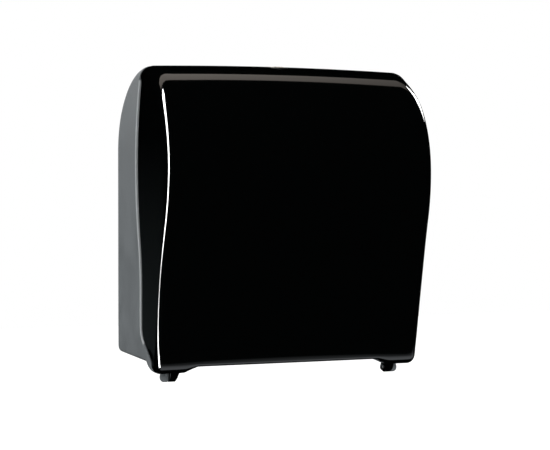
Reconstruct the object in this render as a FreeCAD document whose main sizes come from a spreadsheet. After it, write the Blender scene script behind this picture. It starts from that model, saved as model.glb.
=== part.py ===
import FreeCAD, Part
import Sketcher
import math
import os

# Automatic roll towel dispenser for a wall, in millimetres.
# X runs to the right seen from the front, Y into the wall and Z up. The back lies on the wall plane
# Y = 0, and the origin is the middle of the four slots for the wall screws.
# Places are written as x, depth and height: depth is measured from the wall towards the front,
# height from the underside of the two feet.

document = FreeCAD.newDocument("towel_dispenser")
sheet = document.addObject("Spreadsheet::Sheet", "Sizes")


class Size:
    """A number together with the sheet expression that gives it."""

    def __init__(self, value, text):
        self.value = float(value)
        self.text = text

    def join(self, other, sign, result):
        return Size(result, f"({self.text} {sign} {as_size(other).text})")

    def __add__(self, other):
        return self.join(other, "+", self.value + as_size(other).value)

    def __sub__(self, other):
        return self.join(other, "-", self.value - as_size(other).value)

    def __mul__(self, other):
        return self.join(other, "*", self.value * as_size(other).value)

    def __truediv__(self, other):
        return self.join(other, "/", self.value / as_size(other).value)

    def __radd__(self, other):
        return as_size(other) + self

    def __rsub__(self, other):
        return as_size(other) - self

    def __rmul__(self, other):
        return as_size(other) * self

    def __rtruediv__(self, other):
        return as_size(other) / self

    def __neg__(self):
        return as_size(0) - self


def as_size(number):
    if isinstance(number, Size):
        return number
    return Size(number, f"({number})" if number < 0 else str(number))


def root(number):
    return Size(math.sqrt(number.value), f"sqrt({number.text})")


def sine(degrees):
    return Size(math.sin(math.radians(degrees.value)), f"sin({degrees.text})")


def cosine(degrees):
    return Size(math.cos(math.radians(degrees.value)), f"cos({degrees.text})")


def size(name, value, meaning):
    row = size.count + 1
    size.count = row
    sheet.set(f"A{row}", meaning)
    sheet.set(f"B{row}", str(value))
    sheet.setAlias(f"B{row}", name)
    return Size(value, f"Sizes.{name}")


size.count = 0

# Outer body
cover_width = size("cover_width", 330, "width over the cover and the housing")
body_height = size("body_height", 360, "underside of the feet to the crown")
wall = size("wall_thickness", 3, "wall of the cover and the housing")
slot_drop = size("slot_drop", 160, "crown down to the middle of the wall slots")
bulge_depth = size("bulge_depth", 215, "wall to the foremost line of the front")
bulge_drop = size("bulge_drop", 125, "crown down to the foremost line")
crown_depth = size("crown_depth", 117, "wall to the crown")
crown_radius = size("crown_radius", 72, "front arc at the crown")
back_radius = size("back_radius", 85, "arc where the back leaves the wall")
back_drop = size("back_drop", 101, "crown down to where the back leaves the wall")
belly_radius = size("belly_radius", 200, "arc under the foremost line")
waist_radius = size("waist_radius", 927, "hollow arc of the lower front")
foot_radius = size("foot_radius", 12, "rounding under the front")
foot_depth = size("foot_depth", 160, "wall to the middle of that rounding")
base_height = size("base_height", 12, "underside of the housing above the feet")
base_corner = size("base_corner", 8, "rounding of the housing at the wall")
foot_flat = size("foot_flat", 10, "flat of the feet behind that rounding")
lip_radius = size("lip_radius", 26, "rounding behind the feet")
side_round = size("side_round", 6, "rounding of the side edges")
beyond = size("beyond", 40, "reach of cutting shapes past the body")

# Recess between the feet
recess_height = size("recess_height", 9.4, "height of the recess between the feet")
recess_slant = size("recess_slant", 24, "spread of the recess at each end, from its top down")
foot_wide = size("foot_wide", 29, "width of a foot")

# Seam between the cover and the housing
seam_gap = size("seam_gap", 0.6, "gap between the cover and the housing")
seam_near = size("seam_near", 86.7, "least depth of the seam")
seam_drop = size("seam_drop", 117, "crown down to the seam's least depth")
seam_upper = size("seam_upper", 270, "seam arc above its least depth")
seam_lower = size("seam_lower", 360, "seam arc under its least depth")
seam_turn = size("seam_turn", 15, "degrees that the lower seam arc turns")
seam_back = size("seam_back", 212, "seam arc back to upright")
seam_knee = size("seam_knee", 40.3, "height where the seam turns forward")
seam_knee_radius = size("seam_knee_radius", 18, "rounding of that turn")
seam_slope = size("seam_slope", 31.4, "degrees of the seam under level, below the knee")
seam_lip = size("seam_lip", 2, "seam's lower end behind the foot's rounding")
seam_end_radius = size("seam_end_radius", 25, "seam arc at its lower end")
rim_reach = size("rim_reach", 5, "reach of the housing's inner rim past the seam")
rim_thick = size("rim_thick", 2, "thickness of the inner rim")
rim_low = size("rim_low", 60, "lower end of the inner rim")
rim_drop = size("rim_drop", 40, "crown down to the upper end of the inner rim")
rim_root = size("rim_root", 8, "inner rim's reach behind the seam")
slip = size("slip", 0.4, "clearance of parts that only pass each other")

# Cover hinge
hinge_back = size("hinge_back", 19, "hinge axis behind the foot's rounding")
hinge_height = size("hinge_height", -6, "hinge axis above the feet's underside")
hinge_boss = size("hinge_boss", 6, "radius of the hinge ears and lugs")
pin_radius = size("pin_radius", 2.5, "radius of the hinge pins and other pivots")
running = size("running", 0.05, "radial clearance of a running fit")
ear_wide = size("ear_wide", 10.8, "width of a cover ear")
lug_wide = size("lug_wide", 8.8, "width of a housing lug")
lug_in = size("lug_in", 14, "housing lug inside the housing's side")
lug_deep = size("lug_deep", 12, "depth of a hinge lug")
lug_root = size("lug_root", 5.5, "top of a hinge lug inside the foot")
hinge_pin_past = size("hinge_pin_past", 1.5, "hinge pins past the ears and lugs")
ear_slant = size("ear_slant", 4, "start of an ear's slant in front of the hinge axis")
ear_reach = size("ear_reach", 10, "reach of an ear in front of the seam's lower end")
ear_chin = size("ear_chin", 3, "ear below the feet at its front")
ear_root = size("ear_root", 1, "ear above the underside of the feet")

# Wall screws
slot_in = size("slot_in", 20, "wall slots inside the side plates")
slot_upright = size("slot_upright", 140, "wall slots, middle to middle, upright")
slot_radius = size("slot_radius", 3, "half width of a wall slot")
slot_length = size("slot_length", 12, "length of a wall slot")

# Roll and its holder
roll_depth = size("roll_depth", 106, "wall to the roll's axis")
roll_drop = size("roll_drop", 117, "crown down to the roll's axis")
hub_in = size("hub_in", 7, "hub flanges inside the side plates")
hub_flange = size("hub_flange", 30, "radius of a hub flange")
hub_flange_thick = size("hub_flange_thick", 3, "thickness of a hub flange")
hub_radius = size("hub_radius", 18.5, "radius of a hub in the roll's core")
hub_nose = size("hub_nose", 16, "radius of a hub at its nose")
hub_length = size("hub_length", 20, "length of a hub in the roll's core")
hub_room = size("hub_room", 2, "hub flange to the roll arm")
axle_radius = size("axle_radius", 4, "radius of a hub axle")
axle_head = size("axle_head", 7, "radius of a hub axle's head")
axle_head_thick = size("axle_head_thick", 3, "thickness of that head")
clip_radius = size("clip_radius", 6.5, "radius of a retaining clip")
clip_thick = size("clip_thick", 1.2, "thickness of a retaining clip")
clip_recess = size("clip_recess", 6, "depth of the hub's hollow nose")
clip_room = size("clip_room", 1.5, "room round a retaining clip")
axle_back = size("axle_back", 2, "hub axle's end behind the hub's nose")
arm_thick = size("arm_thick", 4, "thickness of a roll arm")
arm_boss = size("arm_boss", 20, "radius of a roll arm round its axle")
arm_tall = size("arm_tall", 76, "height of a roll arm at the wall")
arm_foot = size("arm_foot", 18, "width of the fixed roll arm's foot")
plate_thick = size("plate_thick", 3, "thickness of feet, plates and panels")
boss_height = size("boss_height", 3, "height of the screw bosses on the housing")
boss_radius = size("boss_radius", 5, "radius of the screw bosses")
screw_radius = size("screw_radius", 1.75, "radius of a panel screw's thread")
screw_head = size("screw_head", 3.6, "radius of a panel screw's head")
screw_head_thick = size("screw_head_thick", 2.2, "thickness of a panel screw's head")
screw_bite = size("screw_bite", 4.5, "length of a panel screw's thread past its plate")
small_screw_radius = size("small_screw_radius", 1.25, "radius of a small screw's thread")
small_screw_head = size("small_screw_head", 2.5, "radius of a small screw's head")
small_screw_head_thick = size("small_screw_head_thick", 1.6, "thickness of a small screw's head")
pivot_room = size("pivot_room", 0.5, "swinging arm's barrel to its bracket")
pivot_out = size("pivot_out", 4, "swinging arm's pin outside the arm's middle")
barrel_radius = size("barrel_radius", 5.5, "radius of the swinging arm's barrel")
barrel_tall = size("barrel_tall", 40, "height of that barrel")
bracket_ear = size("bracket_ear", 4, "thickness of the bracket's ears")
bracket_wide = size("bracket_wide", 28, "width of the bracket's base")
bracket_in = size("bracket_in", 12, "bracket's base inside the arm")
bracket_reach = size("bracket_reach", 7, "bracket's ears past the pin")
bracket_ear_half = size("bracket_ear_half", 6.5, "half width of the bracket's ears")
spring_outer = size("spring_outer", 5.2, "outer radius of a return spring")
spring_inner = size("spring_inner", 3.4, "inner radius of a return spring")
arm_web_deep = size("arm_web_deep", 9, "depth of the web between the swinging arm and its barrel")
pivot_past = size("pivot_past", 2, "swinging arm's pin past the bracket")

# Feed unit
side_room = size("side_room", 4, "side plate to the case and the box")
plate_wide = size("plate_wide", 4, "thickness of a side plate")
plate_corner = size("plate_corner", 20, "rounding of a side plate's upper front corner")
unit_front = size("unit_front", 156, "depth of the side plates' front edge")
unit_top = size("unit_top", 118, "top of the side plates")
panel_low = size("panel_low", 20, "lower edge of the feed unit's panels")
front_panel_top = size("front_panel_top", 98, "upper edge of the front panel")
back_panel_top = size("back_panel_top", 112, "upper edge of the back panel")
panel_screw_in = size("panel_screw_in", 12, "panel screws from the side plates' inner faces")
panel_screw_edge = size("panel_screw_edge", 9, "panel screws from the panels' edges")
block_wide = size("block_wide", 9, "width of the side plates' screw blocks")
block_deep = size("block_deep", 7, "depth of the side plates' screw blocks")
nip_height = size("nip_height", 60, "height of the feed roller's axis")
roller_depth = size("roller_depth", 103, "wall to the feed roller's axis")
roller_radius = size("roller_radius", 16, "radius over the rubber sleeves")
core_radius = size("core_radius", 12, "radius of the roller's core")
core_in = size("core_in", 2, "roller's core inside the side plates")
shaft_radius = size("shaft_radius", 4, "radius of the roller's shaft")
shaft_past = size("shaft_past", 2, "roller shaft past the drive gear")
shaft_show = size("shaft_show", 1, "roller shaft past the feed knob")
sleeve_count = size("sleeve_count", 4, "number of rubber sleeves")
sleeve_gap = size("sleeve_gap", 18, "gap between rubber sleeves")
sleeve_in = size("sleeve_in", 4, "half gaps of the sleeves inside the core's ends")
bush_radius = size("bush_radius", 7, "outer radius of a bush")
bush_flange = size("bush_flange", 9, "radius of a bush's flange")
bush_flange_thick = size("bush_flange_thick", 1.2, "thickness of a bush's flange")
knob_radius = size("knob_radius", 19, "radius of the feed knob over its ribs")
knob_thick = size("knob_thick", 12, "thickness of the feed knob")
knob_ribs = size("knob_ribs", 30, "number of ribs round the feed knob")
knob_rib = size("knob_rib", 1.2, "radius of a rib of the feed knob")
gear_module = size("gear_module", 1, "module of the gears")
gear_angle = size("gear_angle", 25, "pressure angle of the gears in degrees")
gear_head = size("gear_head", 0.8, "tooth above its pitch circle, in modules")
gear_foot = size("gear_foot", 1.05, "tooth under its pitch circle, in modules")
backlash = size("backlash", 0.2, "thickness taken off each gear's teeth")
drive_teeth = size("drive_teeth", 40, "teeth of the drive gear")
small_teeth = size("small_teeth", 16, "teeth of the idler's small gear")
large_teeth = size("large_teeth", 44, "teeth of the idler's large gear")
pinion_teeth = size("pinion_teeth", 12, "teeth of the motor pinion")
gear_width = size("gear_width", 6, "width of a gear")
gear_gap = size("gear_gap", 1, "gap between the two planes of gears")
gear_start = size("gear_start", 2, "side plate to the first gears")
idler_lean = size("idler_lean", 52.5, "degrees from level, roller's axis back and up to the idler's")
motor_lean = size("motor_lean", 3.7, "degrees from level, idler's axis back and up to the motor's")
motor_radius = size("motor_radius", 18, "radius of the motor")
motor_length = size("motor_length", 52, "length of the motor's can")
motor_cap = size("motor_cap", 4, "length of the motor's end cap")
motor_cap_radius = size("motor_cap_radius", 14, "radius of the motor's end cap")
motor_nose = size("motor_nose", 6, "radius of the motor's nose")
motor_shaft_radius = size("motor_shaft_radius", 1.5, "radius of the motor's shaft")
motor_screw_out = size("motor_screw_out", 12.5, "motor screws from the motor's axis")
motor_screw_bite = size("motor_screw_bite", 3, "length of the motor screws in the motor")
gear_cover_wall = size("gear_cover_wall", 1.5, "wall of the gear cover")
gear_cover_room = size("gear_cover_room", 3, "room round the gears under their cover")
gear_cover_ear = size("gear_cover_ear", 5, "radius of the gear cover's screw ears")
gear_cover_past = size("gear_cover_past", 1, "shaft's end to the gear cover")
cover_ear_low = size("cover_ear_low", 20, "lower rear ear above the gear cover's underside")
cover_ear_top = size("cover_ear_top", 8, "upper rear ear under the gear cover's top")
cover_ear_front = size("cover_ear_front", 12, "front ear above the gear cover's underside")

# Pinch unit
pinch_radius = size("pinch_radius", 10, "radius of the pinch rollers")
nip_gap = size("nip_gap", 0.3, "gap between the rollers, for the towel")
pinch_shaft_radius = size("pinch_shaft_radius", 3, "radius of the pinch shaft")
pinch_count = size("pinch_count", 3, "number of pinch rollers")
pinch_gap = size("pinch_gap", 14, "gap between pinch rollers")
pinch_in = size("pinch_in", 8, "half gaps of the pinch rollers inside the carrier's arms")
carrier_depth = size("carrier_depth", 140, "wall to the carrier's pivot")
carrier_height = size("carrier_height", 98, "height of the carrier's pivot")
carrier_arm = size("carrier_arm", 4, "thickness of a carrier arm")
carrier_gap = size("carrier_gap", 5, "carrier arm to side plate")
carrier_boss = size("carrier_boss", 6, "radius of the carrier round its pins")
carrier_bar = size("carrier_bar", 3, "thickness of the carrier's bar")
carrier_bar_tall = size("carrier_bar_tall", 20, "height of the carrier's bar")
pin_head = size("pin_head", 4, "radius of a pinch pin's head and of the idler's clip")
pin_head_thick = size("pin_head_thick", 1.5, "thickness of a pinch pin's head")

# Towel exit
guide_thick = size("guide_thick", 2, "thickness of the towel guides")
guide_in = size("guide_in", 6, "towel slot's guides inside the side plates")
rear_guide_depth = size("rear_guide_depth", 110.5, "depth of the rear guide")
front_guide_depth = size("front_guide_depth", 126, "depth of the front guide")
rear_guide_top = size("rear_guide_top", 44, "top of the rear guide")
front_guide_top = size("front_guide_top", 48, "top of the front guide")
front_guide_low = size("front_guide_low", 10.6, "lower edge of the front guide")
exit_front = size("exit_front", 131, "front edge of the towel slot")
exit_gap = size("exit_gap", 0.5, "towel slot past the guides' ends")
blade_thick = size("blade_thick", 1, "thickness of the tear blade")
blade_tall = size("blade_tall", 14, "height of the tear blade")
blade_low = size("blade_low", 9.8, "height of the tear blade's tips")
blade_in = size("blade_in", 4, "tear blade inside the guides' ends")
blade_bite = size("blade_bite", 2, "height of a tear tooth")
blade_teeth = size("blade_teeth", 50, "number of tear teeth")
blade_screw_in = size("blade_screw_in", 30, "outer blade screws from the blade's ends")
blade_screw_up = size("blade_screw_up", 9.4, "blade screws above the tips")

# Power and control
cell_room = size("cell_room", 1.6, "battery cells to the sides of their case")
case_gap = size("case_gap", 4, "case and box to the housing's side")
case_lift = size("case_lift", 0.2, "case and box off the housing's back")
case_wall = size("case_wall", 1.8, "wall of the case and the box")
case_tab = size("case_tab", 10, "height of the screw tabs of the case and the box")
case_tab_wide = size("case_tab_wide", 12, "width of those tabs")
battery_low = size("battery_low", 90, "underside of the battery case")
cell_radius = size("cell_radius", 16.6, "radius of a battery cell")
cell_length = size("cell_length", 61, "length of a battery cell")
cell_gap = size("cell_gap", 0.4, "gap between battery cells")
contact_room = size("contact_room", 2.8, "room for the contacts at each end")
contact_thick = size("contact_thick", 0.6, "thickness of a contact plate")
contact_radius = size("contact_radius", 5, "radius of a contact spring")
lid_thick = size("lid_thick", 2, "thickness of lids")
lid_barrel = size("lid_barrel", 2.2, "radius of the battery lid's barrel")
lid_pin = size("lid_pin", 1.2, "radius of the battery lid's pins")
lid_grip = size("lid_grip", 1.5, "reach of the battery lid's grip")
lid_grip_tall = size("lid_grip_tall", 16, "height of the battery lid's grip")
box_deep = size("box_deep", 74, "depth of the control box")
box_gap = size("box_gap", 5, "control box to the gear cover under it and the arm over it")
board_thick = size("board_thick", 1.6, "thickness of the circuit boards")
board_back = size("board_back", 16, "control board behind the panel")
button_radius = size("button_radius", 6, "radius of the feed button")
button_travel = size("button_travel", 1.5, "travel of the feed button")
button_out = size("button_out", 3, "feed button's face above the panel")
control_edge = size("control_edge", 12, "outer controls from the control box's ends")
slider_travel = size("slider_travel", 6, "travel of the sliders")
slider_wide = size("slider_wide", 4, "width of a slider's grip")
slider_tall = size("slider_tall", 6, "height of a slider's grip")
slider_out = size("slider_out", 2.5, "slider's grip above the panel")
slider_flange = size("slider_flange", 2, "slider's flange past its slot")
flange_thick = size("flange_thick", 1.5, "thickness of the button's and sliders' flanges")
stem_length = size("stem_length", 1.5, "button's stem behind its flange")
stem_radius = size("stem_radius", 2.5, "radius of that stem")
button_flange = size("button_flange", 1.5, "button's flange past its edge")
tact_radius = size("tact_radius", 3, "radius of the switch behind the button")
slide_wide = size("slide_wide", 12, "width of the slide switches on the board")
slide_tall = size("slide_tall", 8, "height and depth of the slide switches")
slider_neck = size("slider_neck", 1, "slider's tongue inside its grip")
lamp_past = size("lamp_past", 1, "status lamp past the panel")
lamp_radius = size("lamp_radius", 2.5, "radius of the status lamp")
lamp_out = size("lamp_out", 12, "status lamp beside the feed button")
lead_radius = size("lead_radius", 1.5, "radius of the leads")
lead_bend = size("lead_bend", 9, "bend of the leads")
battery_lead_height = size("battery_lead_height", 150, "height of the battery lead")
lead_out = size("lead_out", 0.5, "leads clear of the housing's back")
clip_out = size("clip_out", 50, "lead clips from the middle")
clip_wide = size("clip_wide", 6, "width of a lead clip")
clip_wall = size("clip_wall", 1.5, "wall of a lead clip")
motor_lead_up = size("motor_lead_up", 6, "motor lead above the motor's axis")
motor_lead_back = size("motor_lead_back", 14, "motor lead's rise beside the motor")
motor_lead_over = size("motor_lead_over", 12, "motor lead above the side plates")
sensor_lead_up = size("sensor_lead_up", 9, "sensor lead above the housing's floor")
sensor_lead_in = size("sensor_lead_in", 24, "sensor lead's rise inside the control box's inner side")
sensor_lead_back = size("sensor_lead_back", 9.6, "sensor lead's rise behind the control panel")

# Hand sensor
sensor_back = size("sensor_back", 17, "middle of the sensor behind the foot's rounding")
lens_wide = size("lens_wide", 30, "width of the sensor's lens with its flange")
lens_deep = size("lens_deep", 11, "depth of the sensor's lens with its flange")
lens_flange = size("lens_flange", 1.5, "flange of the lens round its window")
holder_wide = size("holder_wide", 40, "width of the sensor's holder")
holder_deep = size("holder_deep", 17, "depth of the sensor's holder")
holder_tall = size("holder_tall", 11, "height of the sensor's holder")

# Cover switch
switch_wide = size("switch_wide", 10, "width of the cover switch")
switch_deep = size("switch_deep", 20, "depth of the cover switch")
switch_tall = size("switch_tall", 16, "height of the cover switch")
switch_front = size("switch_front", 154, "depth of the switch's front")
switch_low = size("switch_low", 66, "underside of the cover switch")
plunger_radius = size("plunger_radius", 2, "radius of the plunger")
plunger_length = size("plunger_length", 9, "length of the plunger")
plunger_gap = size("plunger_gap", 0.3, "plunger to the cover's rib")
plunger_out = size("plunger_out", 4, "plunger past the switch")
rib_wide = size("rib_wide", 6, "width of the cover's rib")
rib_tall = size("rib_tall", 8, "height of the cover's rib")

# Lock
lock_ahead = size("lock_ahead", 7, "lock's axis in front of the crown")
lock_radius = size("lock_radius", 8, "radius of the lock's barrel")
lock_sink = size("lock_sink", 0.6, "lock's face under the crown")
lock_tall = size("lock_tall", 17, "length of the lock")
lock_flange = size("lock_flange", 9.5, "radius of the lock's face")
lock_flange_thick = size("lock_flange_thick", 1.2, "thickness of the lock's face")
plug_radius = size("plug_radius", 5.5, "radius of the key plug")
key_wide = size("key_wide", 1.2, "width of the key slot")
key_long = size("key_long", 7, "length of the key slot")
key_deep = size("key_deep", 3, "depth of the key slot")
plug_past = size("plug_past", 1, "key plug past the barrel's lower end")
nut_radius = size("nut_radius", 11, "radius of the lock nut")
nut_thick = size("nut_thick", 3, "thickness of the lock nut")
lock_boss = size("lock_boss", 13, "radius of the cover's boss round the lock")
lock_boss_drop = size("lock_boss_drop", 7, "crown down to the underside of that boss")
cam_reach = size("cam_reach", 26, "reach of the cam from the lock's axis")
cam_wide = size("cam_wide", 10, "width of the cam")
cam_thick = size("cam_thick", 2, "thickness of the cam")
cam_lip = size("cam_lip", 7, "height of the cam's lip")
cam_hub = size("cam_hub", 1, "cam's hub past the key plug")
keeper_wide = size("keeper_wide", 10, "width of the keeper")
keeper_thick = size("keeper_thick", 2, "thickness of the keeper")
keeper_gap = size("keeper_gap", 1, "cam's lip to the keeper")
keeper_foot = size("keeper_foot", 15, "depth of the keeper's foot")
keeper_drop = size("keeper_drop", 10, "crown down to the underside of the keeper's foot")
keeper_screw_back = size("keeper_screw_back", 10.5, "keeper's screw behind its tab")
keeper_screw_bite = size("keeper_screw_bite", 2, "length of the keeper's screw in the housing")

document.recompute()

# Heights that hang from the crown, and depths that follow the feet
foot_drop = body_height - slot_drop
bulge_height = body_height - bulge_drop
back_height = body_height - back_drop
seam_height = body_height - seam_drop
rim_top = body_height - rim_drop
roll_height = body_height - roll_drop
lock_top = body_height - lock_sink
lock_boss_low = body_height - lock_boss_drop
keeper_height = body_height - keeper_drop
lock_depth = crown_depth + lock_ahead
lip_depth = foot_depth - foot_flat
seam_end = foot_depth - seam_lip
hinge_depth = foot_depth - hinge_back
sensor_depth = foot_depth - sensor_back

# Places across, from the housing's side inwards
inner_side = cover_width / 2 - wall
cell_step = 2 * cell_radius + cell_gap
case_wide = 2 * (cell_radius + cell_room + case_wall)
case_outer = inner_side - case_gap
case_middle = case_outer - case_wide / 2
case_inner = case_outer - case_wide
plate_outer = case_inner - side_room
plate_inner = plate_outer - plate_wide
hub_face = plate_inner - hub_in
slot_half_across = plate_inner - slot_in
lug_outer = cover_width / 2 - lug_in
lug_inner = lug_outer - lug_wide
ear_outer = lug_inner - slip
ear_inner = ear_outer - ear_wide
mouth_half = cover_width / 2 - foot_wide
recess_half = mouth_half - recess_slant
core_length = 2 * (plate_inner - core_in)
sleeve_pitch = (core_length - 2 * sleeve_in) / sleeve_count
sleeve_length = sleeve_pitch - sleeve_gap
carrier_outer = plate_inner - carrier_gap
carrier_arm_x = carrier_outer - carrier_arm
pinch_pitch = 2 * (carrier_arm_x - pinch_in) / pinch_count
pinch_length = pinch_pitch - pinch_gap
guide_half = plate_inner - guide_in
blade_half_length = guide_half - blade_in
blade_tooth = 2 * blade_half_length / blade_teeth
blade_screw_out = blade_half_length - blade_screw_in


def bind(thing, values):
    """Set properties of an object to sizes: by expression, and by value as a start."""
    for name, number in values.items():
        thing.setExpression(name, as_size(number).text)
    return thing


def place(thing, x, depth, height):
    return bind(thing, {
        "Placement.Base.x": x,
        "Placement.Base.y": -as_size(depth),
        "Placement.Base.z": height - foot_drop,
    })


def block(x, depth, height, wide, deep, tall):
    """A box from its left, rear, lower corner: x, depth and height, then its three sizes."""
    solid = document.addObject("Part::Box", "block")
    bind(solid, {"Length": wide, "Width": deep, "Height": tall})
    return place(solid, x, as_size(depth) + deep, height)


def rod(axis, x, depth, height, radius, length):
    """A cylinder that starts at a point and runs right (X), to the front (Y) or up (Z)."""
    turns = {
        "X": FreeCAD.Rotation(FreeCAD.Vector(0, 1, 0), 90),
        "Y": FreeCAD.Rotation(FreeCAD.Vector(1, 0, 0), 90),
        "Z": FreeCAD.Rotation(),
    }
    solid = document.addObject("Part::Cylinder", "rod")
    solid.Placement = FreeCAD.Placement(FreeCAD.Vector(), turns[axis])
    bind(solid, {"Radius": radius, "Height": length})
    return place(solid, x, depth, height)


def fuse(*solids):
    joined = document.addObject("Part::MultiFuse", "joined")
    joined.Shapes = list(solids)
    joined.Refine = True
    return joined


def cut(base, *tools):
    result = document.addObject("Part::Cut", "cut")
    result.Base = base
    result.Tool = tools[0] if len(tools) == 1 else fuse(*tools)
    return result


def common(first, second):
    result = document.addObject("Part::Common", "common")
    result.Base = first
    result.Tool = second
    return result


def outline(body, role, points):
    """A closed sketch through points (u, v) or (u, v, radius): the radius is that of the arc from the
    point before, positive where it turns left. Each point and radius is a constraint with its size."""
    sketch = body.newObject("Sketcher::SketchObject", "outline")
    origin_plane = [item for item in body.Origin.OriginFeatures if item.Role == role][0]
    sketch.AttachmentSupport = (origin_plane, [""])
    sketch.MapMode = "FlatFace"
    count = len(points)
    ends = []
    for index in range(count):
        start = FreeCAD.Vector(as_size(points[index][0]).value, as_size(points[index][1]).value, 0)
        after = points[(index + 1) % count]
        stop = FreeCAD.Vector(as_size(after[0]).value, as_size(after[1]).value, 0)
        if len(after) == 2:
            edge = sketch.addGeometry(Part.LineSegment(start, stop), False)
            ends.append((edge, 1, 2))
            continue
        bend = as_size(after[2]).value
        chord = stop - start
        left = FreeCAD.Vector(-chord.y, chord.x, 0).normalize()
        rise = math.sqrt(max(bend ** 2 - (chord.Length / 2) ** 2, 0))
        middle = (start + stop) / 2 + left * math.copysign(rise, bend)
        first, last = (start, stop) if bend > 0 else (stop, start)
        angles = [math.atan2(end.y - middle.y, end.x - middle.x) for end in (first, last)]
        circle = Part.Circle(middle, FreeCAD.Vector(0, 0, 1), abs(bend))
        edge = sketch.addGeometry(Part.ArcOfCircle(circle, angles[0], angles[1]), False)
        ends.append((edge, 1, 2) if bend > 0 else (edge, 2, 1))
        number = sketch.addConstraint(Sketcher.Constraint("Radius", edge, abs(bend)))
        radius = as_size(after[2]) if bend > 0 else -as_size(after[2])
        sketch.setExpression(f"Constraints[{number}]", radius.text)
    for index in range(count):
        edge, start, stop = ends[index]
        following = ends[(index + 1) % count]
        sketch.addConstraint(Sketcher.Constraint("Coincident", edge, stop, following[0], following[1]))
        for kind, place_value in (("DistanceX", points[index][0]), ("DistanceY", points[index][1])):
            number = sketch.addConstraint(
                Sketcher.Constraint(kind, -1, 1, edge, start, as_size(place_value).value))
            sketch.setExpression(f"Constraints[{number}]", as_size(place_value).text)
    return sketch


def mirrored(points):
    """The same outline with its first coordinate turned round, for depth against Y."""
    return [(-as_size(p[0]), p[1]) + tuple(-as_size(r) for r in p[2:]) for p in points]


def padded(role, points, length):
    body = document.addObject("PartDesign::Body", "prism")
    pad = body.newObject("PartDesign::Pad", "pad")
    pad.Profile = outline(body, role, points)
    bind(pad, {"Length": length})
    return body


def prism_x(x, length, points):
    """An outline of (depth, height) points, drawn out to the right from x."""
    return place(padded("YZ_Plane", mirrored(points), length), x, 0, as_size(0))


def prism_y(depth, length, points):
    """An outline of (x, height) points, drawn out to the front from a depth."""
    return place(padded("XZ_Plane", points, length), 0, depth, as_size(0))


def prism_z(height, length, points):
    """An outline of (x, depth) points, drawn out upwards from a height."""
    turned = [(p[0], -as_size(p[1])) + tuple(-as_size(r) for r in p[2:]) for p in points]
    return place(padded("XY_Plane", turned, length), 0, 0, as_size(height))


def turned(axis, x, depth, height, points):
    """A turned solid from an outline of (radius, distance along the axis) points. It runs right (X)
    or up (Z) from its place."""
    body = document.addObject("PartDesign::Body", "turned")
    spin = body.newObject("PartDesign::Revolution", "spin")
    if axis == "X":
        sketch = outline(body, "XY_Plane", [(along, radius) for radius, along in points])
        spin.Profile = sketch
        spin.ReferenceAxis = (sketch, ["H_Axis"])
    else:
        sketch = outline(body, "XZ_Plane", points)
        spin.Profile = sketch
        spin.ReferenceAxis = (sketch, ["V_Axis"])
    spin.Angle = 360
    body.Tip = spin
    return place(body, x, depth, height)


def tube(axis, x, depth, height, outer, inner, length):
    return cut(rod(axis, x, depth, height, outer, length), rod(axis, x, depth, height, inner, length))


def patterned(body, kind, points, axis, settings):
    """Pad one more outline on a padded body and repeat it along or round an axis of the first sketch."""
    first_pad = body.Tip
    base_sketch = first_pad.Profile[0]
    pad = body.newObject("PartDesign::Pad", "one")
    pad.Profile = outline(body, base_sketch.AttachmentSupport[0][0].Role, points)
    pad.setExpression("Length", dict(first_pad.ExpressionEngine)["Length"])
    pattern = body.newObject(kind, "pattern")
    pattern.Originals = [pad]
    if kind == "PartDesign::LinearPattern":
        pattern.Direction = (base_sketch, [axis])
    else:
        pattern.Axis = (base_sketch, [axis])
    bind(pattern, settings)
    body.Tip = pattern
    return body


def twin(solid):
    """The same solid mirrored in the middle plane."""
    other = document.addObject("Part::Mirroring", "twin")
    other.Source = solid
    other.Normal = FreeCAD.Vector(1, 0, 0)
    return other


def pair(solid):
    return fuse(solid, twin(solid))


def ready_shape(shape):
    thing = document.addObject("Part::Feature", "shape")
    thing.Shape = shape
    return thing


def lead(*points):
    """A round lead through points (x, depth, height), bent at each point between its ends."""
    corners = [FreeCAD.Vector(as_size(x).value, -as_size(depth).value, (height - foot_drop).value)
               for x, depth, height in points]
    edges = []
    start = corners[0]
    for before, corner, after in zip(corners, corners[1:], corners[2:]):
        inward = (corner - before).normalize()
        outward = (after - corner).normalize()
        turn = inward.getAngle(outward)
        cut_back = lead_bend.value * math.tan(turn / 2)
        first = corner - inward * cut_back
        last = corner + outward * cut_back
        bulge = lead_bend.value / math.cos(turn / 2) - lead_bend.value
        middle = corner + (outward - inward).normalize() * bulge
        edges.append(Part.LineSegment(start, first).toShape())
        edges.append(Part.Arc(first, middle, last).toShape())
        start = last
    edges.append(Part.LineSegment(start, corners[-1]).toShape())
    circle = Part.Circle(corners[0], corners[1] - corners[0], lead_radius.value)
    return ready_shape(Part.Wire(edges).makePipeShell([Part.Wire(circle.toShape())], True, False))


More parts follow.
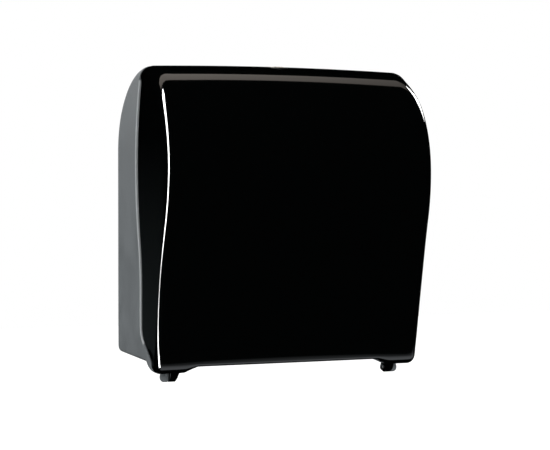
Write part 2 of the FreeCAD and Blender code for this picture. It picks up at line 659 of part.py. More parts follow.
def gear(x, depth, height, teeth, first_tooth, bore):
    """A spur gear on an axis along X with involute teeth. The first tooth's middle lies at an angle in
    degrees from Y towards Z."""
    count = int(round(teeth.value))
    module = gear_module.value
    pitch = module * count / 2
    base = pitch * math.cos(math.radians(gear_angle.value))
    tip = pitch + gear_head.value * module
    foot = pitch - gear_foot.value * module
    slope = math.radians(gear_angle.value)
    at_pitch = (math.pi * module / 2 - backlash.value) / (2 * pitch) + math.tan(slope) - slope
    low = max(base, foot)
    flank = []
    for step in range(5):
        radius = low + (tip - low) * step / 4
        lean = math.acos(min(base / radius, 1))
        flank.append((radius, at_pitch - (math.tan(lean) - lean)))
    if foot < base:
        flank.insert(0, (foot, flank[0][1]))
    points = []
    for number in range(count):
        middle = math.radians(first_tooth) + 2 * math.pi * number / count
        for radius, spread in flank:
            points.append((radius, middle - spread))
        for radius, spread in reversed(flank):
            points.append((radius, middle + spread))
    corners = [FreeCAD.Vector(radius * math.cos(angle), radius * math.sin(angle), 0)
               for radius, angle in points]
    face = Part.Face(Part.makePolygon(corners + corners[:1]))
    wheel = ready_shape(face.extrude(FreeCAD.Vector(0, 0, gear_width.value)))
    # Turned so that the local X, Y and Z become Y, Z and X
    wheel.Placement = FreeCAD.Placement(FreeCAD.Vector(), FreeCAD.Rotation(FreeCAD.Vector(1, 1, 1), 120))
    place(wheel, x, depth, height)
    return cut(wheel, rod("X", x, depth, height, bore, gear_width))


nodes = []


def node(name, thing):
    thing.Label = name
    nodes.append(thing)
    return thing


def panel_screw(x, depth, height, through):
    """A screw along the depth. Its head lies on a plate's front at that depth; the thread goes through
    the plate and bites behind it."""
    head = rod("Y", x, depth, height, screw_head, screw_head_thick)
    thread = rod("Y", x, depth - through - screw_bite, height, screw_radius, through + screw_bite)
    return fuse(head, thread)


def screw_hole(x, depth, height, length):
    """The clearance hole of a panel screw through a plate that starts at a depth."""
    return rod("Y", x, depth, height, screw_radius + slip, length)


# The closed body as an outline in depth and height

def body_outline(inset):
    tall = body_height - back_height
    over = crown_depth
    top_radius = (over * over + tall * tall - 2 * over * back_radius) / (2 * (tall - back_radius))
    back_middle = (back_radius, back_height)
    top_middle = (crown_depth, body_height - top_radius)
    span = top_radius - back_radius
    reach = back_radius - inset
    back_join = (
        back_middle[0] + (back_middle[0] - top_middle[0]) / span * reach,
        back_middle[1] + (back_middle[1] - top_middle[1]) / span * reach,
    )
    ahead = bulge_depth - crown_depth
    rise = body_height - bulge_height
    front_radius = (ahead * ahead + rise * rise - 2 * rise * crown_radius) / (2 * (ahead - crown_radius))
    crown_middle = (crown_depth, body_height - crown_radius)
    front_middle = (bulge_depth - front_radius, bulge_height)
    span = front_radius - crown_radius
    reach = crown_radius - inset
    front_join = (
        crown_middle[0] + (crown_middle[0] - front_middle[0]) / span * reach,
        crown_middle[1] + (crown_middle[1] - front_middle[1]) / span * reach,
    )
    belly_middle = (bulge_depth - belly_radius, bulge_height)
    foot_middle = (foot_depth, foot_radius)
    # The waist's arc touches the arcs of the belly and the foot
    ahead = foot_middle[0] - belly_middle[0]
    drop = belly_middle[1] - foot_middle[1]
    apart = root(ahead * ahead + drop * drop)
    belly_span = belly_radius + waist_radius
    span = waist_radius + foot_radius
    along = (belly_span * belly_span - span * span + apart * apart) / (2 * apart)
    aside = root(belly_span * belly_span - along * along)
    waist_middle = (
        belly_middle[0] + (along * ahead + aside * drop) / apart,
        belly_middle[1] - (along * drop - aside * ahead) / apart,
    )
    belly_join = (
        belly_middle[0] + (waist_middle[0] - belly_middle[0]) / belly_span * (belly_radius - inset),
        belly_middle[1] + (waist_middle[1] - belly_middle[1]) / belly_span * (belly_radius - inset),
    )
    foot_join = (
        waist_middle[0] + (foot_middle[0] - waist_middle[0]) / span * (waist_radius + inset),
        waist_middle[1] + (foot_middle[1] - waist_middle[1]) / span * (waist_radius + inset),
    )
    lip_drop = lip_radius - base_height - inset
    lip_inner = lip_radius - inset
    lip_join = lip_depth - root(lip_inner * lip_inner - lip_drop * lip_drop)
    return [
        (as_size(inset), base_height + base_corner, inset - base_corner),
        (as_size(inset), back_height),
        back_join + (inset - back_radius,),
        (crown_depth, body_height - inset, inset - top_radius),
        front_join + (inset - crown_radius,),
        (bulge_depth - inset, bulge_height, inset - front_radius),
        belly_join + (inset - belly_radius,),
        foot_join + (waist_radius + inset,),
        (foot_middle[0], as_size(inset), inset - foot_radius),
        (lip_depth, as_size(inset)),
        (lip_join, base_height + inset, inset - lip_radius),
        (base_corner, base_height + inset),
    ]


def recess_outline(inset):
    low = -beyond
    bend = (recess_slant * recess_slant + recess_height * recess_height) / (4 * recess_height)
    upper = (recess_half, recess_height - bend)
    lower = (mouth_half, bend)
    join = (
        upper[0] + (lower[0] - upper[0]) / 2 * ((bend + inset) / bend),
        upper[1] + (lower[1] - upper[1]) / 2 * ((bend + inset) / bend),
    )
    return [
        (-lower[0], low),
        (lower[0], low),
        (lower[0], as_size(inset)),
        join + (inset - bend,),
        (upper[0], recess_height + inset, bend + inset),
        (-upper[0], recess_height + inset),
        (-join[0], join[1], bend + inset),
        (-lower[0], as_size(inset), inset - bend),
    ]


def seam_points(shift):
    """The seam from above the crown down to below the feet, moved to the front by shift."""
    top = body_height + beyond
    climb = top - seam_height
    turn_along, turn_down = cosine(seam_turn), sine(seam_turn)
    lower_end = (
        seam_near + seam_lower * (1 - turn_along),
        seam_height - seam_lower * turn_down,
    )
    upright = (lower_end[0] + seam_back * (1 - turn_along), lower_end[1] - seam_back * turn_down)
    slope_along, slope_down = cosine(seam_slope), sine(seam_slope)
    # The tangent of half the knee's turn, which is 90 degrees less the slope
    tangent = seam_knee_radius * slope_along / (1 + slope_down)
    knee_end = (upright[0] + tangent * slope_along, seam_knee - tangent * slope_down)
    bend_start = seam_end - seam_end_radius * (1 - slope_down)
    bend_height = seam_knee - (bend_start - upright[0]) * slope_down / slope_along
    bottom = -beyond
    points = [
        (seam_near + seam_upper - root(seam_upper * seam_upper - climb * climb), top),
        (seam_near, seam_height, seam_upper),
        lower_end + (seam_lower,),
        upright + (-seam_back,),
        (upright[0], seam_knee + tangent),
        knee_end + (seam_knee_radius,),
        (bend_start, bend_height),
        (seam_end, bend_height - seam_end_radius * slope_along, -seam_end_radius),
        (seam_end, bottom),
    ]
    return [(p[0] + shift, *p[1:]) for p in points]


def behind_seam(shift):
    return seam_points(shift) + [(-beyond, -beyond), (-beyond, body_height + beyond)]


def before_seam(shift):
    ahead = bulge_depth + beyond
    return seam_points(shift) + [(ahead, -beyond), (ahead, body_height + beyond)]


def closed_body(inset):
    """The whole body as a wide prism, and the recess between its feet."""
    wide = cover_width - 2 * inset
    body = prism_x(-wide / 2, wide, body_outline(inset))
    return body, prism_y(-beyond, bulge_depth + 2 * beyond, recess_outline(inset))


def round_sides(body, radius):
    """Round the edges of a prism's two side faces."""
    pad = body.Tip
    document.recompute()
    rounded = body.newObject("PartDesign::Fillet", "side_edges")
    names = []
    for number, edge in enumerate(pad.Shape.Edges, 1):
        first, last = edge.Vertexes[0].Point, edge.Vertexes[-1].Point
        if abs(first.x - last.x) < 0.01:
            names.append(f"Edge{number}")
    rounded.Base = (pad, names)
    bind(rounded, {"Radius": radius})
    body.Tip = rounded


# Shells of the body

floor = base_height + wall
unit_back = wall + boss_height
case_back = wall + case_lift
outer_body, outer_recess = closed_body(as_size(0))
round_sides(outer_body, side_round)
inner_body, inner_recess = closed_body(wall)
outside = cut(outer_body, outer_recess)
shell = cut(outside, cut(inner_body, inner_recess))


def behind(x, shift, wide):
    return prism_x(x, wide, behind_seam(shift))


# Roll arms, right and left
arm_inner = hub_face + hub_flange_thick + hub_room
arm_outer = arm_inner + arm_thick
arm_low = roll_height - arm_tall / 2
arm_top = roll_height + arm_tall / 2
foot_screw = arm_inner - (arm_foot - arm_thick) / 2
arm_screw_low = arm_low + panel_screw_edge
arm_screw_top = arm_top - panel_screw_edge
pivot_x = arm_inner + arm_thick / 2 + pivot_out
pivot_depth = unit_back + plate_thick + pivot_room + barrel_radius

# Feed unit
unit_screw_x = plate_inner - panel_screw_in
gear_near = plate_outer + gear_start
gear_far = gear_near + gear_width + gear_gap
shaft_end = gear_far + gear_width + shaft_past
far_apart = (drive_teeth + small_teeth) * gear_module / 2
near_apart = (large_teeth + pinion_teeth) * gear_module / 2
idler_depth = roller_depth - far_apart * cosine(idler_lean)
idler_height = nip_height + far_apart * sine(idler_lean)
motor_depth = idler_depth - near_apart * cosine(motor_lean)
motor_height = idler_height + near_apart * sine(motor_lean)
pinch_depth = roller_depth + roller_radius + nip_gap + pinch_radius

gear_tip = gear_head * gear_module
cover_outer = shaft_end + gear_cover_past + gear_cover_wall
cover_rear = motor_depth - pinion_teeth / 2 * gear_module - gear_tip - gear_cover_room
cover_front = roller_depth + drive_teeth / 2 * gear_module + gear_tip + gear_cover_room
cover_low = nip_height - drive_teeth / 2 * gear_module - gear_tip - gear_cover_room
cover_top = idler_height + large_teeth / 2 * gear_module + gear_tip + gear_cover_room

# Power and control
control_low = cover_top + box_gap
control_tall = arm_low - box_gap - control_low
pause_height = control_low + control_edge
button_height = control_low + control_tall - control_edge
length_height = (pause_height + button_height) / 2
sensor_lead_height = floor + sensor_lead_up
case_deep = case_wall + 2 * cell_step + slip
case_front = case_back + case_deep
case_tall = 2 * (cell_length + contact_room + case_wall)
box_front = case_back + box_deep

screws_on_wall = [
    (-foot_screw, arm_screw_low),
    (-foot_screw, arm_screw_top),
    (foot_screw, arm_screw_low),
    (foot_screw, arm_screw_top),
    (-case_middle, battery_low - case_tab / 2),
    (-case_middle, battery_low + case_tall + case_tab / 2),
    (case_middle, control_low - case_tab / 2),
    (case_middle, control_low + control_tall + case_tab / 2),
    (-unit_screw_x, panel_low + panel_screw_edge),
    (unit_screw_x, panel_low + panel_screw_edge),
    (-unit_screw_x, back_panel_top - panel_screw_edge),
    (unit_screw_x, back_panel_top - panel_screw_edge),
]

# Rear housing

rim_x = inner_side - slip - rim_thick
rim = cut(
    common(block(rim_x, 0, rim_low, rim_thick, bulge_depth, rim_top - rim_low),
           behind(0, rim_reach, cover_width)),
    behind(0, -rim_root, cover_width),
)
rim_tie = cut(
    common(block(rim_x, 0, rim_low, rim_thick + 2 * slip, bulge_depth, rim_top - rim_low),
           behind(0, -rim_reach / 2, cover_width)),
    behind(0, -rim_root, cover_width),
)
lug = fuse(
    block(lug_inner, hinge_depth - lug_deep / 2, hinge_height, lug_outer - lug_inner, lug_deep,
          lug_root - hinge_height),
    rod("X", lug_inner, hinge_depth, hinge_height, hinge_boss, lug_outer - lug_inner),
)
lug = cut(lug, rod("X", lug_inner, hinge_depth, hinge_height, pin_radius, lug_outer - lug_inner))
keeper_tab = lock_depth - cam_reach + cam_thick + keeper_gap
keeper_rear = keeper_tab + keeper_thick - keeper_foot
keeper_boss = common(
    block(-keeper_wide / 2, keeper_rear, keeper_height + keeper_thick, keeper_wide, keeper_foot, beyond),
    outer_body,
)
wall_bosses = [rod("Y", x, wall, height, boss_radius, boss_height) for x, height in screws_on_wall]
housing = fuse(
    common(shell, behind(-cover_width, -seam_gap / 2, 2 * cover_width)),
    pair(fuse(rim, rim_tie)), pair(lug), keeper_boss, *wall_bosses,
)
keeper_screw_depth = keeper_tab + keeper_thick - keeper_screw_back
cutters = [
    rod("Y", x, unit_back - screw_bite - slip, height, screw_radius + running, screw_bite + 2 * slip)
    for x, height in screws_on_wall
]
for x in (-slot_half_across, slot_half_across):
    for height in (foot_drop - slot_upright / 2, foot_drop + slot_upright / 2):
        reach = slot_length / 2 - slot_radius
        cutters += [
            rod("Y", x - reach, -slip, height, slot_radius, wall + 2 * slip),
            rod("Y", x + reach, -slip, height, slot_radius, wall + 2 * slip),
            block(x - reach, -slip, height - slot_radius, 2 * reach, wall + 2 * slip, 2 * slot_radius),
        ]
cutters += [
    block(-guide_half - exit_gap, rear_guide_depth + guide_thick, 0,
          2 * (guide_half + exit_gap), exit_front - rear_guide_depth - guide_thick, floor + slip),
    block(-lens_wide / 2 + lens_flange, sensor_depth - lens_deep / 2 + lens_flange, 0,
          lens_wide - 2 * lens_flange, lens_deep - 2 * lens_flange, floor + slip),
    rod("Z", 0, keeper_screw_depth, keeper_height + keeper_thick, small_screw_radius + running,
        keeper_screw_bite + slip),
]
node("rear_housing", cut(housing, *cutters))

node("hinge_pins", pair(rod(
    "X", ear_inner - hinge_pin_past, hinge_depth, hinge_height, pin_radius,
    lug_outer - ear_inner + hinge_pin_past)))

# Front cover

ear_arm = prism_x(ear_inner, ear_wide, [
    (hinge_depth, -slip),
    (hinge_depth + ear_slant, hinge_height - hinge_boss + slip),
    (seam_end + ear_reach - seam_lip, -ear_chin),
    (seam_end + ear_reach, ear_root),
    (seam_end + ear_root, ear_root),
    (seam_end + ear_root, -slip),
])
ear = cut(
    fuse(ear_arm, rod("X", ear_inner, hinge_depth, hinge_height, hinge_boss, ear_wide)),
    rod("X", ear_inner, hinge_depth, hinge_height, pin_radius + running, ear_wide),
)
rib_x = plate_outer + switch_wide / 2 - rib_wide / 2
rib_height = switch_low + switch_tall / 2 - rib_tall / 2
rib_depth = switch_front + plunger_out + plunger_gap
rib = common(block(rib_x, rib_depth, rib_height, rib_wide, beyond, rib_tall), outer_body)
before = prism_x(-cover_width, 2 * cover_width, before_seam(seam_gap / 2))
lock_mount = common(
    common(rod("Z", 0, lock_depth, lock_boss_low, lock_boss, beyond), outer_body), before)
cover_half = common(shell, before)
lock_low = lock_top - lock_tall
node("front_cover", cut(
    fuse(cover_half, pair(ear), rib, lock_mount),
    rod("Z", 0, lock_depth, lock_low, lock_radius + running, beyond),
    rod("Z", 0, lock_depth, lock_top - lock_flange_thick, lock_flange + slip / 2, beyond),
))

# Lock

node("lock_barrel", cut(
    fuse(
        rod("Z", 0, lock_depth, lock_low, lock_radius, lock_tall),
        rod("Z", 0, lock_depth, lock_top - lock_flange_thick, lock_flange, lock_flange_thick),
    ),
    rod("Z", 0, lock_depth, lock_low, plug_radius + running, lock_tall),
))
hexagon = []
for corner in range(6):
    turn = as_size(60 * corner)
    hexagon.append((nut_radius * cosine(turn), lock_depth + nut_radius * sine(turn)))
node("lock_nut", cut(
    prism_z(lock_boss_low - nut_thick, nut_thick, hexagon),
    rod("Z", 0, lock_depth, lock_boss_low - nut_thick, lock_radius, nut_thick),
))
node("lock_plug", cut(
    rod("Z", 0, lock_depth, lock_low - plug_past, plug_radius, lock_tall + plug_past),
    block(-key_wide / 2, lock_depth - key_long / 2, lock_top - key_deep, key_wide, key_long, beyond),
))
cam_top = lock_low - plug_past
node("lock_cam", fuse(
    rod("Z", 0, lock_depth, cam_top - cam_thick, plug_radius + cam_hub, cam_thick),
    block(0, lock_depth - cam_wide / 2, cam_top - cam_thick, cam_reach, cam_wide, cam_thick),
    block(cam_reach - cam_thick, lock_depth - cam_wide / 2, cam_top, cam_thick, cam_wide, cam_lip),
))
node("lock_keeper", cut(
    fuse(
        block(-keeper_wide / 2, keeper_rear, keeper_height, keeper_wide, keeper_foot, keeper_thick),
        block(-keeper_wide / 2, keeper_tab, cam_top + slip, keeper_wide, keeper_thick,
              keeper_height - cam_top - slip),
    ),
    rod("Z", 0, keeper_screw_depth, keeper_height, small_screw_radius + running, keeper_thick),
))

# Roll holder


def roll_arm_plate(root_depth, root_low, root_top):
    back = roll_depth - arm_boss
    plate = prism_x(arm_inner, arm_thick, [
        (root_depth, root_low),
        (back, roll_height - arm_boss),
        (roll_depth, roll_height - arm_boss),
        (roll_depth, roll_height + arm_boss),
        (back, roll_height + arm_boss),
        (root_depth, root_top),
    ])
    spacer = rod("X", arm_inner - hub_room + slip / 2, roll_depth, roll_height,
                 axle_radius * 2, hub_room - slip / 2)
    return fuse(plate, rod("X", arm_inner, roll_depth, roll_height, arm_boss, arm_thick), spacer)


axle_bore_start = arm_inner - hub_room
axle_bore = rod("X", axle_bore_start, roll_depth, roll_height, axle_radius, hub_room + arm_thick)
fixed_arm = fuse(
    roll_arm_plate(unit_back, arm_low, arm_top),
    block(arm_outer - arm_foot, unit_back, arm_low, arm_foot, plate_thick, arm_tall),
)
node("roll_arm_left", twin(cut(
    fixed_arm, axle_bore,
    screw_hole(foot_screw, unit_back, arm_screw_low, plate_thick),
    screw_hole(foot_screw, unit_back, arm_screw_top, plate_thick),
)))

bracket_base_x = arm_inner - bracket_in
ear_deep = pivot_depth + bracket_reach - unit_back
bracket_parts = [block(bracket_base_x, unit_back, arm_low, bracket_wide, plate_thick, arm_tall)]
for height in (arm_low, arm_top - bracket_ear):
    bracket_parts.append(block(
        pivot_x - bracket_ear_half, unit_back, height, 2 * bracket_ear_half, ear_deep, bracket_ear))
node("arm_bracket", cut(
    fuse(*bracket_parts),
    rod("Z", pivot_x, pivot_depth, arm_low, pin_radius, arm_tall),
    screw_hole(foot_screw, unit_back, arm_screw_low, plate_thick),
    screw_hole(foot_screw, unit_back, arm_screw_top, plate_thick),
))
barrel_low = arm_low + bracket_ear + slip
barrel = rod("Z", pivot_x, pivot_depth, barrel_low, barrel_radius, barrel_tall)
arm_web = block(arm_inner, pivot_depth, barrel_low, pivot_x - arm_inner, arm_web_deep, barrel_tall)
node("roll_arm_right", cut(
    fuse(roll_arm_plate(pivot_depth + barrel_radius + slip, barrel_low, barrel_low + barrel_tall),
         arm_web, barrel),
    axle_bore,
    rod("Z", pivot_x, pivot_depth, barrel_low, pin_radius + running, barrel_tall),
))

hub_end = hub_face - hub_length
hub_bore = axle_radius + running
hub_profile = [
    (hub_bore, clip_recess),
    (clip_radius + clip_room, clip_recess),
    (clip_radius + clip_room, as_size(0)),
    (hub_nose, as_size(0)),
    (hub_radius, hub_length / 2),
    (hub_radius, hub_length),
    (hub_flange, hub_length),
    (hub_flange, hub_length + hub_flange_thick),
    (hub_bore, hub_length + hub_flange_thick),
]
hub = turned("X", hub_end, roll_depth, roll_height, hub_profile)
node("hub_right", hub)
node("hub_left", twin(turned("X", hub_end, roll_depth, roll_height, hub_profile)))
axle_end = hub_end + axle_back
for name, flip in (("hub_axle_right", False), ("hub_axle_left", True)):
    axle = fuse(
        rod("X", axle_end, roll_depth, roll_height, axle_radius, arm_outer - axle_end),
        rod("X", arm_outer, roll_depth, roll_height, axle_head, axle_head_thick),
        rod("X", hub_end + clip_recess - clip_thick - slip, roll_depth, roll_height,
            clip_radius, clip_thick),
    )
    node(name, twin(axle) if flip else axle)

# Feed unit

ear_out = small_screw_head + slip
ear_spots = [
    (cover_rear - ear_out, cover_low + cover_ear_low),
    (cover_rear - ear_out, cover_top - cover_ear_top),
    (cover_front + ear_out, cover_low + cover_ear_front),
]
motor_screws = [
    (motor_depth, motor_height - motor_screw_out),
    (motor_depth, motor_height + motor_screw_out),
]


def side_plate():
    return prism_x(plate_inner, plate_wide, [
        (unit_back, floor + base_corner - unit_back),
        (base_corner, floor),
        (unit_front, floor),
        (unit_front, unit_top - plate_corner),
        (unit_front - plate_corner, unit_top, -plate_corner),
        (unit_back, unit_top),
    ])


block_x = plate_inner - block_wide
front_screw_x = plate_inner - block_wide / 2
front_screws = [panel_low + panel_screw_edge, front_panel_top - panel_screw_edge]


def plate_with_blocks(*holes):
    blocks = [
        block(block_x, unit_front - block_deep, height - block_wide / 2, block_wide, block_deep, block_wide)
        for height in front_screws
    ]
    bores = [
        rod("Y", front_screw_x, unit_front - screw_bite - slip, height, screw_radius + running,
            screw_bite + slip)
        for height in front_screws
    ]
    bush_hole = rod("X", plate_inner, roller_depth, nip_height, bush_radius, plate_wide)
    pin_hole = rod("X", plate_inner, carrier_depth, carrier_height, pin_radius, plate_wide)
    return cut(fuse(side_plate(), *blocks), bush_hole, pin_hole, *bores, *holes)


node("side_plate_left", twin(plate_with_blocks()))
right_holes = [
    rod("X", plate_inner, motor_depth, motor_height, motor_nose, plate_wide),
    rod("X", plate_inner, idler_depth, idler_height, pin_radius, plate_wide),
    rod("X", plate_inner, sensor_depth, sensor_lead_height, lead_radius + slip, plate_wide),
]
for depth, height in motor_screws:
    right_holes.append(rod("X", plate_inner, depth, height, small_screw_radius + running, plate_wide))
for depth, height in ear_spots:
    right_holes.append(rod("X", plate_inner, depth, height, small_screw_radius + running, plate_wide))
node("side_plate_right", plate_with_blocks(*right_holes))

node("back_panel", cut(
    block(-plate_inner, unit_back, panel_low, 2 * plate_inner, plate_thick, back_panel_top - panel_low),
    screw_hole(-unit_screw_x, unit_back, panel_low + panel_screw_edge, plate_thick),
    screw_hole(unit_screw_x, unit_back, panel_low + panel_screw_edge, plate_thick),
    screw_hole(-unit_screw_x, unit_back, back_panel_top - panel_screw_edge, plate_thick),
    screw_hole(unit_screw_x, unit_back, back_panel_top - panel_screw_edge, plate_thick),
))
node("front_panel", cut(
    block(-plate_outer, unit_front, panel_low, 2 * plate_outer, plate_thick, front_panel_top - panel_low),
    *[screw_hole(x, unit_front, height, plate_thick)
      for x in (-front_screw_x, front_screw_x) for height in front_screws],
))

node("roller_bushes", pair(cut(
    fuse(
        rod("X", plate_inner, roller_depth, nip_height, bush_radius, plate_wide),
        rod("X", plate_inner - bush_flange_thick, roller_depth, nip_height, bush_flange,
            bush_flange_thick),
    ),
    rod("X", plate_inner - bush_flange_thick, roller_depth, nip_height, shaft_radius + running,
        plate_wide + bush_flange_thick),
)))
node("roller_shaft", rod("X", -shaft_end, roller_depth, nip_height, shaft_radius, 2 * shaft_end))
node("roller_core", tube(
    "X", -core_length / 2, roller_depth, nip_height, core_radius, shaft_radius, core_length))


def row(count, pitch, length, depth, height, outer, inner):
    """A row of equal rings on an axis along X, about the middle."""
    number = int(round(count.value))
    rings = []
    for index in range(number):
        middle = pitch * (index - (number - 1) / 2)
        rings.append(tube("X", middle - length / 2, depth, height, outer, inner, length))
    return fuse(*rings)


node("roller_sleeves", row(sleeve_count, sleeve_pitch, sleeve_length, roller_depth, nip_height,
                           roller_radius, core_radius))

knob_start = shaft_end - shaft_show
rim_of_knob = knob_radius - knob_rib
knob_disc = prism_x(0, knob_thick, [
    (rim_of_knob, as_size(0), rim_of_knob),
    (as_size(0), rim_of_knob, rim_of_knob),
    (-rim_of_knob, as_size(0), rim_of_knob),
    (as_size(0), -rim_of_knob, rim_of_knob),
])
patterned(
    knob_disc, "PartDesign::PolarPattern",
    [
        (rim_of_knob - knob_rib, -knob_rib),
        (knob_radius, -knob_rib / 2),
        (knob_radius, knob_rib / 2),
        (rim_of_knob - knob_rib, knob_rib),
    ],
    "N_Axis", {"Angle": 360, "Occurrences": knob_ribs},
)
place(knob_disc, -knob_start, roller_depth, nip_height)
node("feed_knob", cut(
    knob_disc, rod("X", -knob_start, roller_depth, nip_height, shaft_radius, knob_thick)))


def bearing(from_depth, from_height, to_depth, to_height):
    """The direction from one axis to another, in degrees from Y towards Z."""
    across = from_depth.value - to_depth.value
    up = to_height.value - from_height.value
    return math.degrees(math.atan2(up, across))


to_idler = bearing(roller_depth, nip_height, idler_depth, idler_height)
to_motor = bearing(idler_depth, idler_height, motor_depth, motor_height)
node("drive_gear", gear(gear_far, roller_depth, nip_height, drive_teeth, to_idler, shaft_radius))
idler_bore = pin_radius + running
node("idler_gear", fuse(
    gear(gear_near, idler_depth, idler_height, large_teeth, to_motor, idler_bore),
    gear(gear_far, idler_depth, idler_height, small_teeth,
         to_idler + 180 + 180 / small_teeth.value, idler_bore),
    tube("X", gear_near + gear_width, idler_depth, idler_height, 2 * pin_radius, idler_bore, gear_gap),
))
node("motor_pinion", gear(gear_near, motor_depth, motor_height, pinion_teeth,
                          to_motor + 180 + 180 / pinion_teeth.value, motor_shaft_radius))

motor_body = fuse(
    rod("X", plate_inner - motor_length, motor_depth, motor_height, motor_radius, motor_length),
    rod("X", plate_inner - motor_length - motor_cap, motor_depth, motor_height, motor_cap_radius,
        motor_cap),
    rod("X", plate_inner, motor_depth, motor_height, motor_nose, gear_start),
)
motor_holes = [
    rod("X", plate_inner - motor_screw_bite, depth, height, small_screw_radius, motor_screw_bite)
    for depth, height in motor_screws
]
node("motor", cut(
    motor_body, *motor_holes,
    rod("X", plate_inner - gear_start, motor_depth, motor_height, motor_shaft_radius + running,
        2 * gear_start),
))
node("motor_shaft", rod("X", plate_inner - gear_start, motor_depth, motor_height, motor_shaft_radius,
                        gear_near + gear_width - plate_inner + gear_start))

gear_box = cut(
    fuse(
        block(plate_outer, cover_rear, cover_low, cover_outer - plate_outer,
              cover_front - cover_rear, cover_top - cover_low),
        *[rod("X", plate_outer, depth, height, gear_cover_ear, gear_cover_wall)
          for depth, height in ear_spots],
    ),
    block(plate_outer, cover_rear + gear_cover_wall, cover_low + gear_cover_wall,
          cover_outer - plate_outer - gear_cover_wall,
          cover_front - cover_rear - 2 * gear_cover_wall, cover_top - cover_low - 2 * gear_cover_wall),
    *[rod("X", plate_outer, depth, height, small_screw_radius + running, gear_cover_wall)
      for depth, height in ear_spots],
)
node("gear_cover", gear_box)

pinch_pin = fuse(
    rod("X", carrier_outer - carrier_arm, carrier_depth, carrier_height, pin_radius,
        plate_outer - carrier_outer + carrier_arm),
    rod("X", plate_outer, carrier_depth, carrier_height, pin_head, pin_head_thick),
)
idler_pin_end = gear_far + gear_width + slip + clip_thick
node("pivot_pins", fuse(
    rod("Z", pivot_x, pivot_depth, arm_low - pivot_past, pin_radius, arm_tall + 2 * pivot_past),
    rod("X", plate_inner, idler_depth, idler_height, pin_radius, idler_pin_end - plate_inner),
    rod("X", plate_outer, idler_depth, idler_height, pin_head, gear_start - slip),
    rod("X", idler_pin_end - clip_thick, idler_depth, idler_height, pin_head, clip_thick),
    pair(pinch_pin),
))

barrel_top = barrel_low + barrel_tall
node("return_springs", fuse(
    tube("Z", pivot_x, pivot_depth, barrel_top + slip, spring_outer, spring_inner,
         arm_top - bracket_ear - barrel_top - slip),
    pair(tube("X", carrier_outer + slip, carrier_depth, carrier_height, spring_outer, spring_inner,
              carrier_gap - slip)),
))

# Pinch unit

bar_low = nip_height - carrier_boss
bar_front = carrier_depth + carrier_boss
carrier_side = cut(
    fuse(
        prism_x(carrier_arm_x, carrier_arm, [
            (carrier_depth - carrier_boss, carrier_height),
            (pinch_depth - carrier_boss, nip_height),
            (pinch_depth, bar_low),
            (bar_front, bar_low),
            (bar_front, carrier_height),
        ]),
        rod("X", carrier_arm_x, carrier_depth, carrier_height, carrier_boss, carrier_arm),
        rod("X", carrier_arm_x, pinch_depth, nip_height, carrier_boss, carrier_arm),
    ),
    rod("X", carrier_arm_x, carrier_depth, carrier_height, pin_radius + running, carrier_arm),
    rod("X", carrier_arm_x, pinch_depth, nip_height, pinch_shaft_radius + running, carrier_arm),
)
node("pinch_carrier", fuse(
    pair(carrier_side),
    block(-carrier_arm_x, bar_front - carrier_bar, bar_low, 2 * carrier_arm_x, carrier_bar,
          carrier_bar_tall),
))
node("pinch_shaft", rod("X", -carrier_outer, pinch_depth, nip_height, pinch_shaft_radius,
                        2 * carrier_outer))
node("pinch_rollers", row(pinch_count, pinch_pitch, pinch_length, pinch_depth, nip_height,
                          pinch_radius, pinch_shaft_radius))

# Towel exit

node("rear_guide", block(-plate_inner, rear_guide_depth, floor, 2 * plate_inner, guide_thick,
                         rear_guide_top - floor))
blade_depth = front_guide_depth + guide_thick
blade_screws = [-blade_screw_out, as_size(0), blade_screw_out]
blade_screw_height = blade_low + blade_screw_up
node("front_guide", cut(
    fuse(
        block(-plate_inner, front_guide_depth, floor, 2 * plate_inner, guide_thick,
              front_guide_top - floor),
        block(-guide_half, front_guide_depth, front_guide_low, 2 * guide_half, guide_thick,
              floor - front_guide_low),
    ),
    *[rod("Y", x, front_guide_depth, blade_screw_height, small_screw_radius + running, guide_thick)
      for x in blade_screws],
))
blade = prism_y(blade_depth, blade_thick, [
    (-blade_half_length, blade_low + blade_bite),
    (blade_half_length, blade_low + blade_bite),
    (blade_half_length, blade_low + blade_tall),
    (-blade_half_length, blade_low + blade_tall),
])
patterned(
    blade, "PartDesign::LinearPattern",
    [
        (-blade_half_length, blade_low + blade_bite),
        (-blade_half_length + blade_tooth / 2, blade_low),
        (-blade_half_length + blade_tooth, blade_low + blade_bite),
    ],
    "H_Axis", {"Length": blade_tooth * (blade_teeth - 1), "Occurrences": blade_teeth},
)
node("tear_blade", cut(
    blade,
    *[rod("Y", x, blade_depth, blade_screw_height, small_screw_radius + running, blade_thick)
      for x in blade_screws],
))

# Screws

wall_screws = [panel_screw(x, unit_back + plate_thick, height, plate_thick)
               for x, height in screws_on_wall]
front_panel_screws = [panel_screw(x, unit_front + plate_thick, height, plate_thick)
                      for x in (-front_screw_x, front_screw_x) for height in front_screws]
node("panel_screws", fuse(*wall_screws, *front_panel_screws))

small_screws = []
for x in blade_screws:
    small_screws += [
        rod("Y", x, front_guide_depth, blade_screw_height, small_screw_radius, guide_thick + blade_thick),
        rod("Y", x, blade_depth + blade_thick, blade_screw_height, small_screw_head,
            small_screw_head_thick),
    ]
for depth, height in motor_screws:
    small_screws += [
        rod("X", plate_inner - motor_screw_bite, depth, height, small_screw_radius,
            plate_wide + motor_screw_bite),
        rod("X", plate_outer, depth, height, small_screw_head, small_screw_head_thick),
    ]
for depth, height in ear_spots:
    small_screws += [
        rod("X", plate_inner, depth, height, small_screw_radius, plate_wide + gear_cover_wall),
        rod("X", plate_outer + gear_cover_wall, depth, height, small_screw_head, small_screw_head_thick),
    ]
small_screws += [
    rod("Z", 0, keeper_screw_depth, keeper_height, small_screw_radius,
        keeper_thick + keeper_screw_bite),
    rod("Z", 0, keeper_screw_depth, keeper_height - small_screw_head_thick, small_screw_head,
        small_screw_head_thick),
]
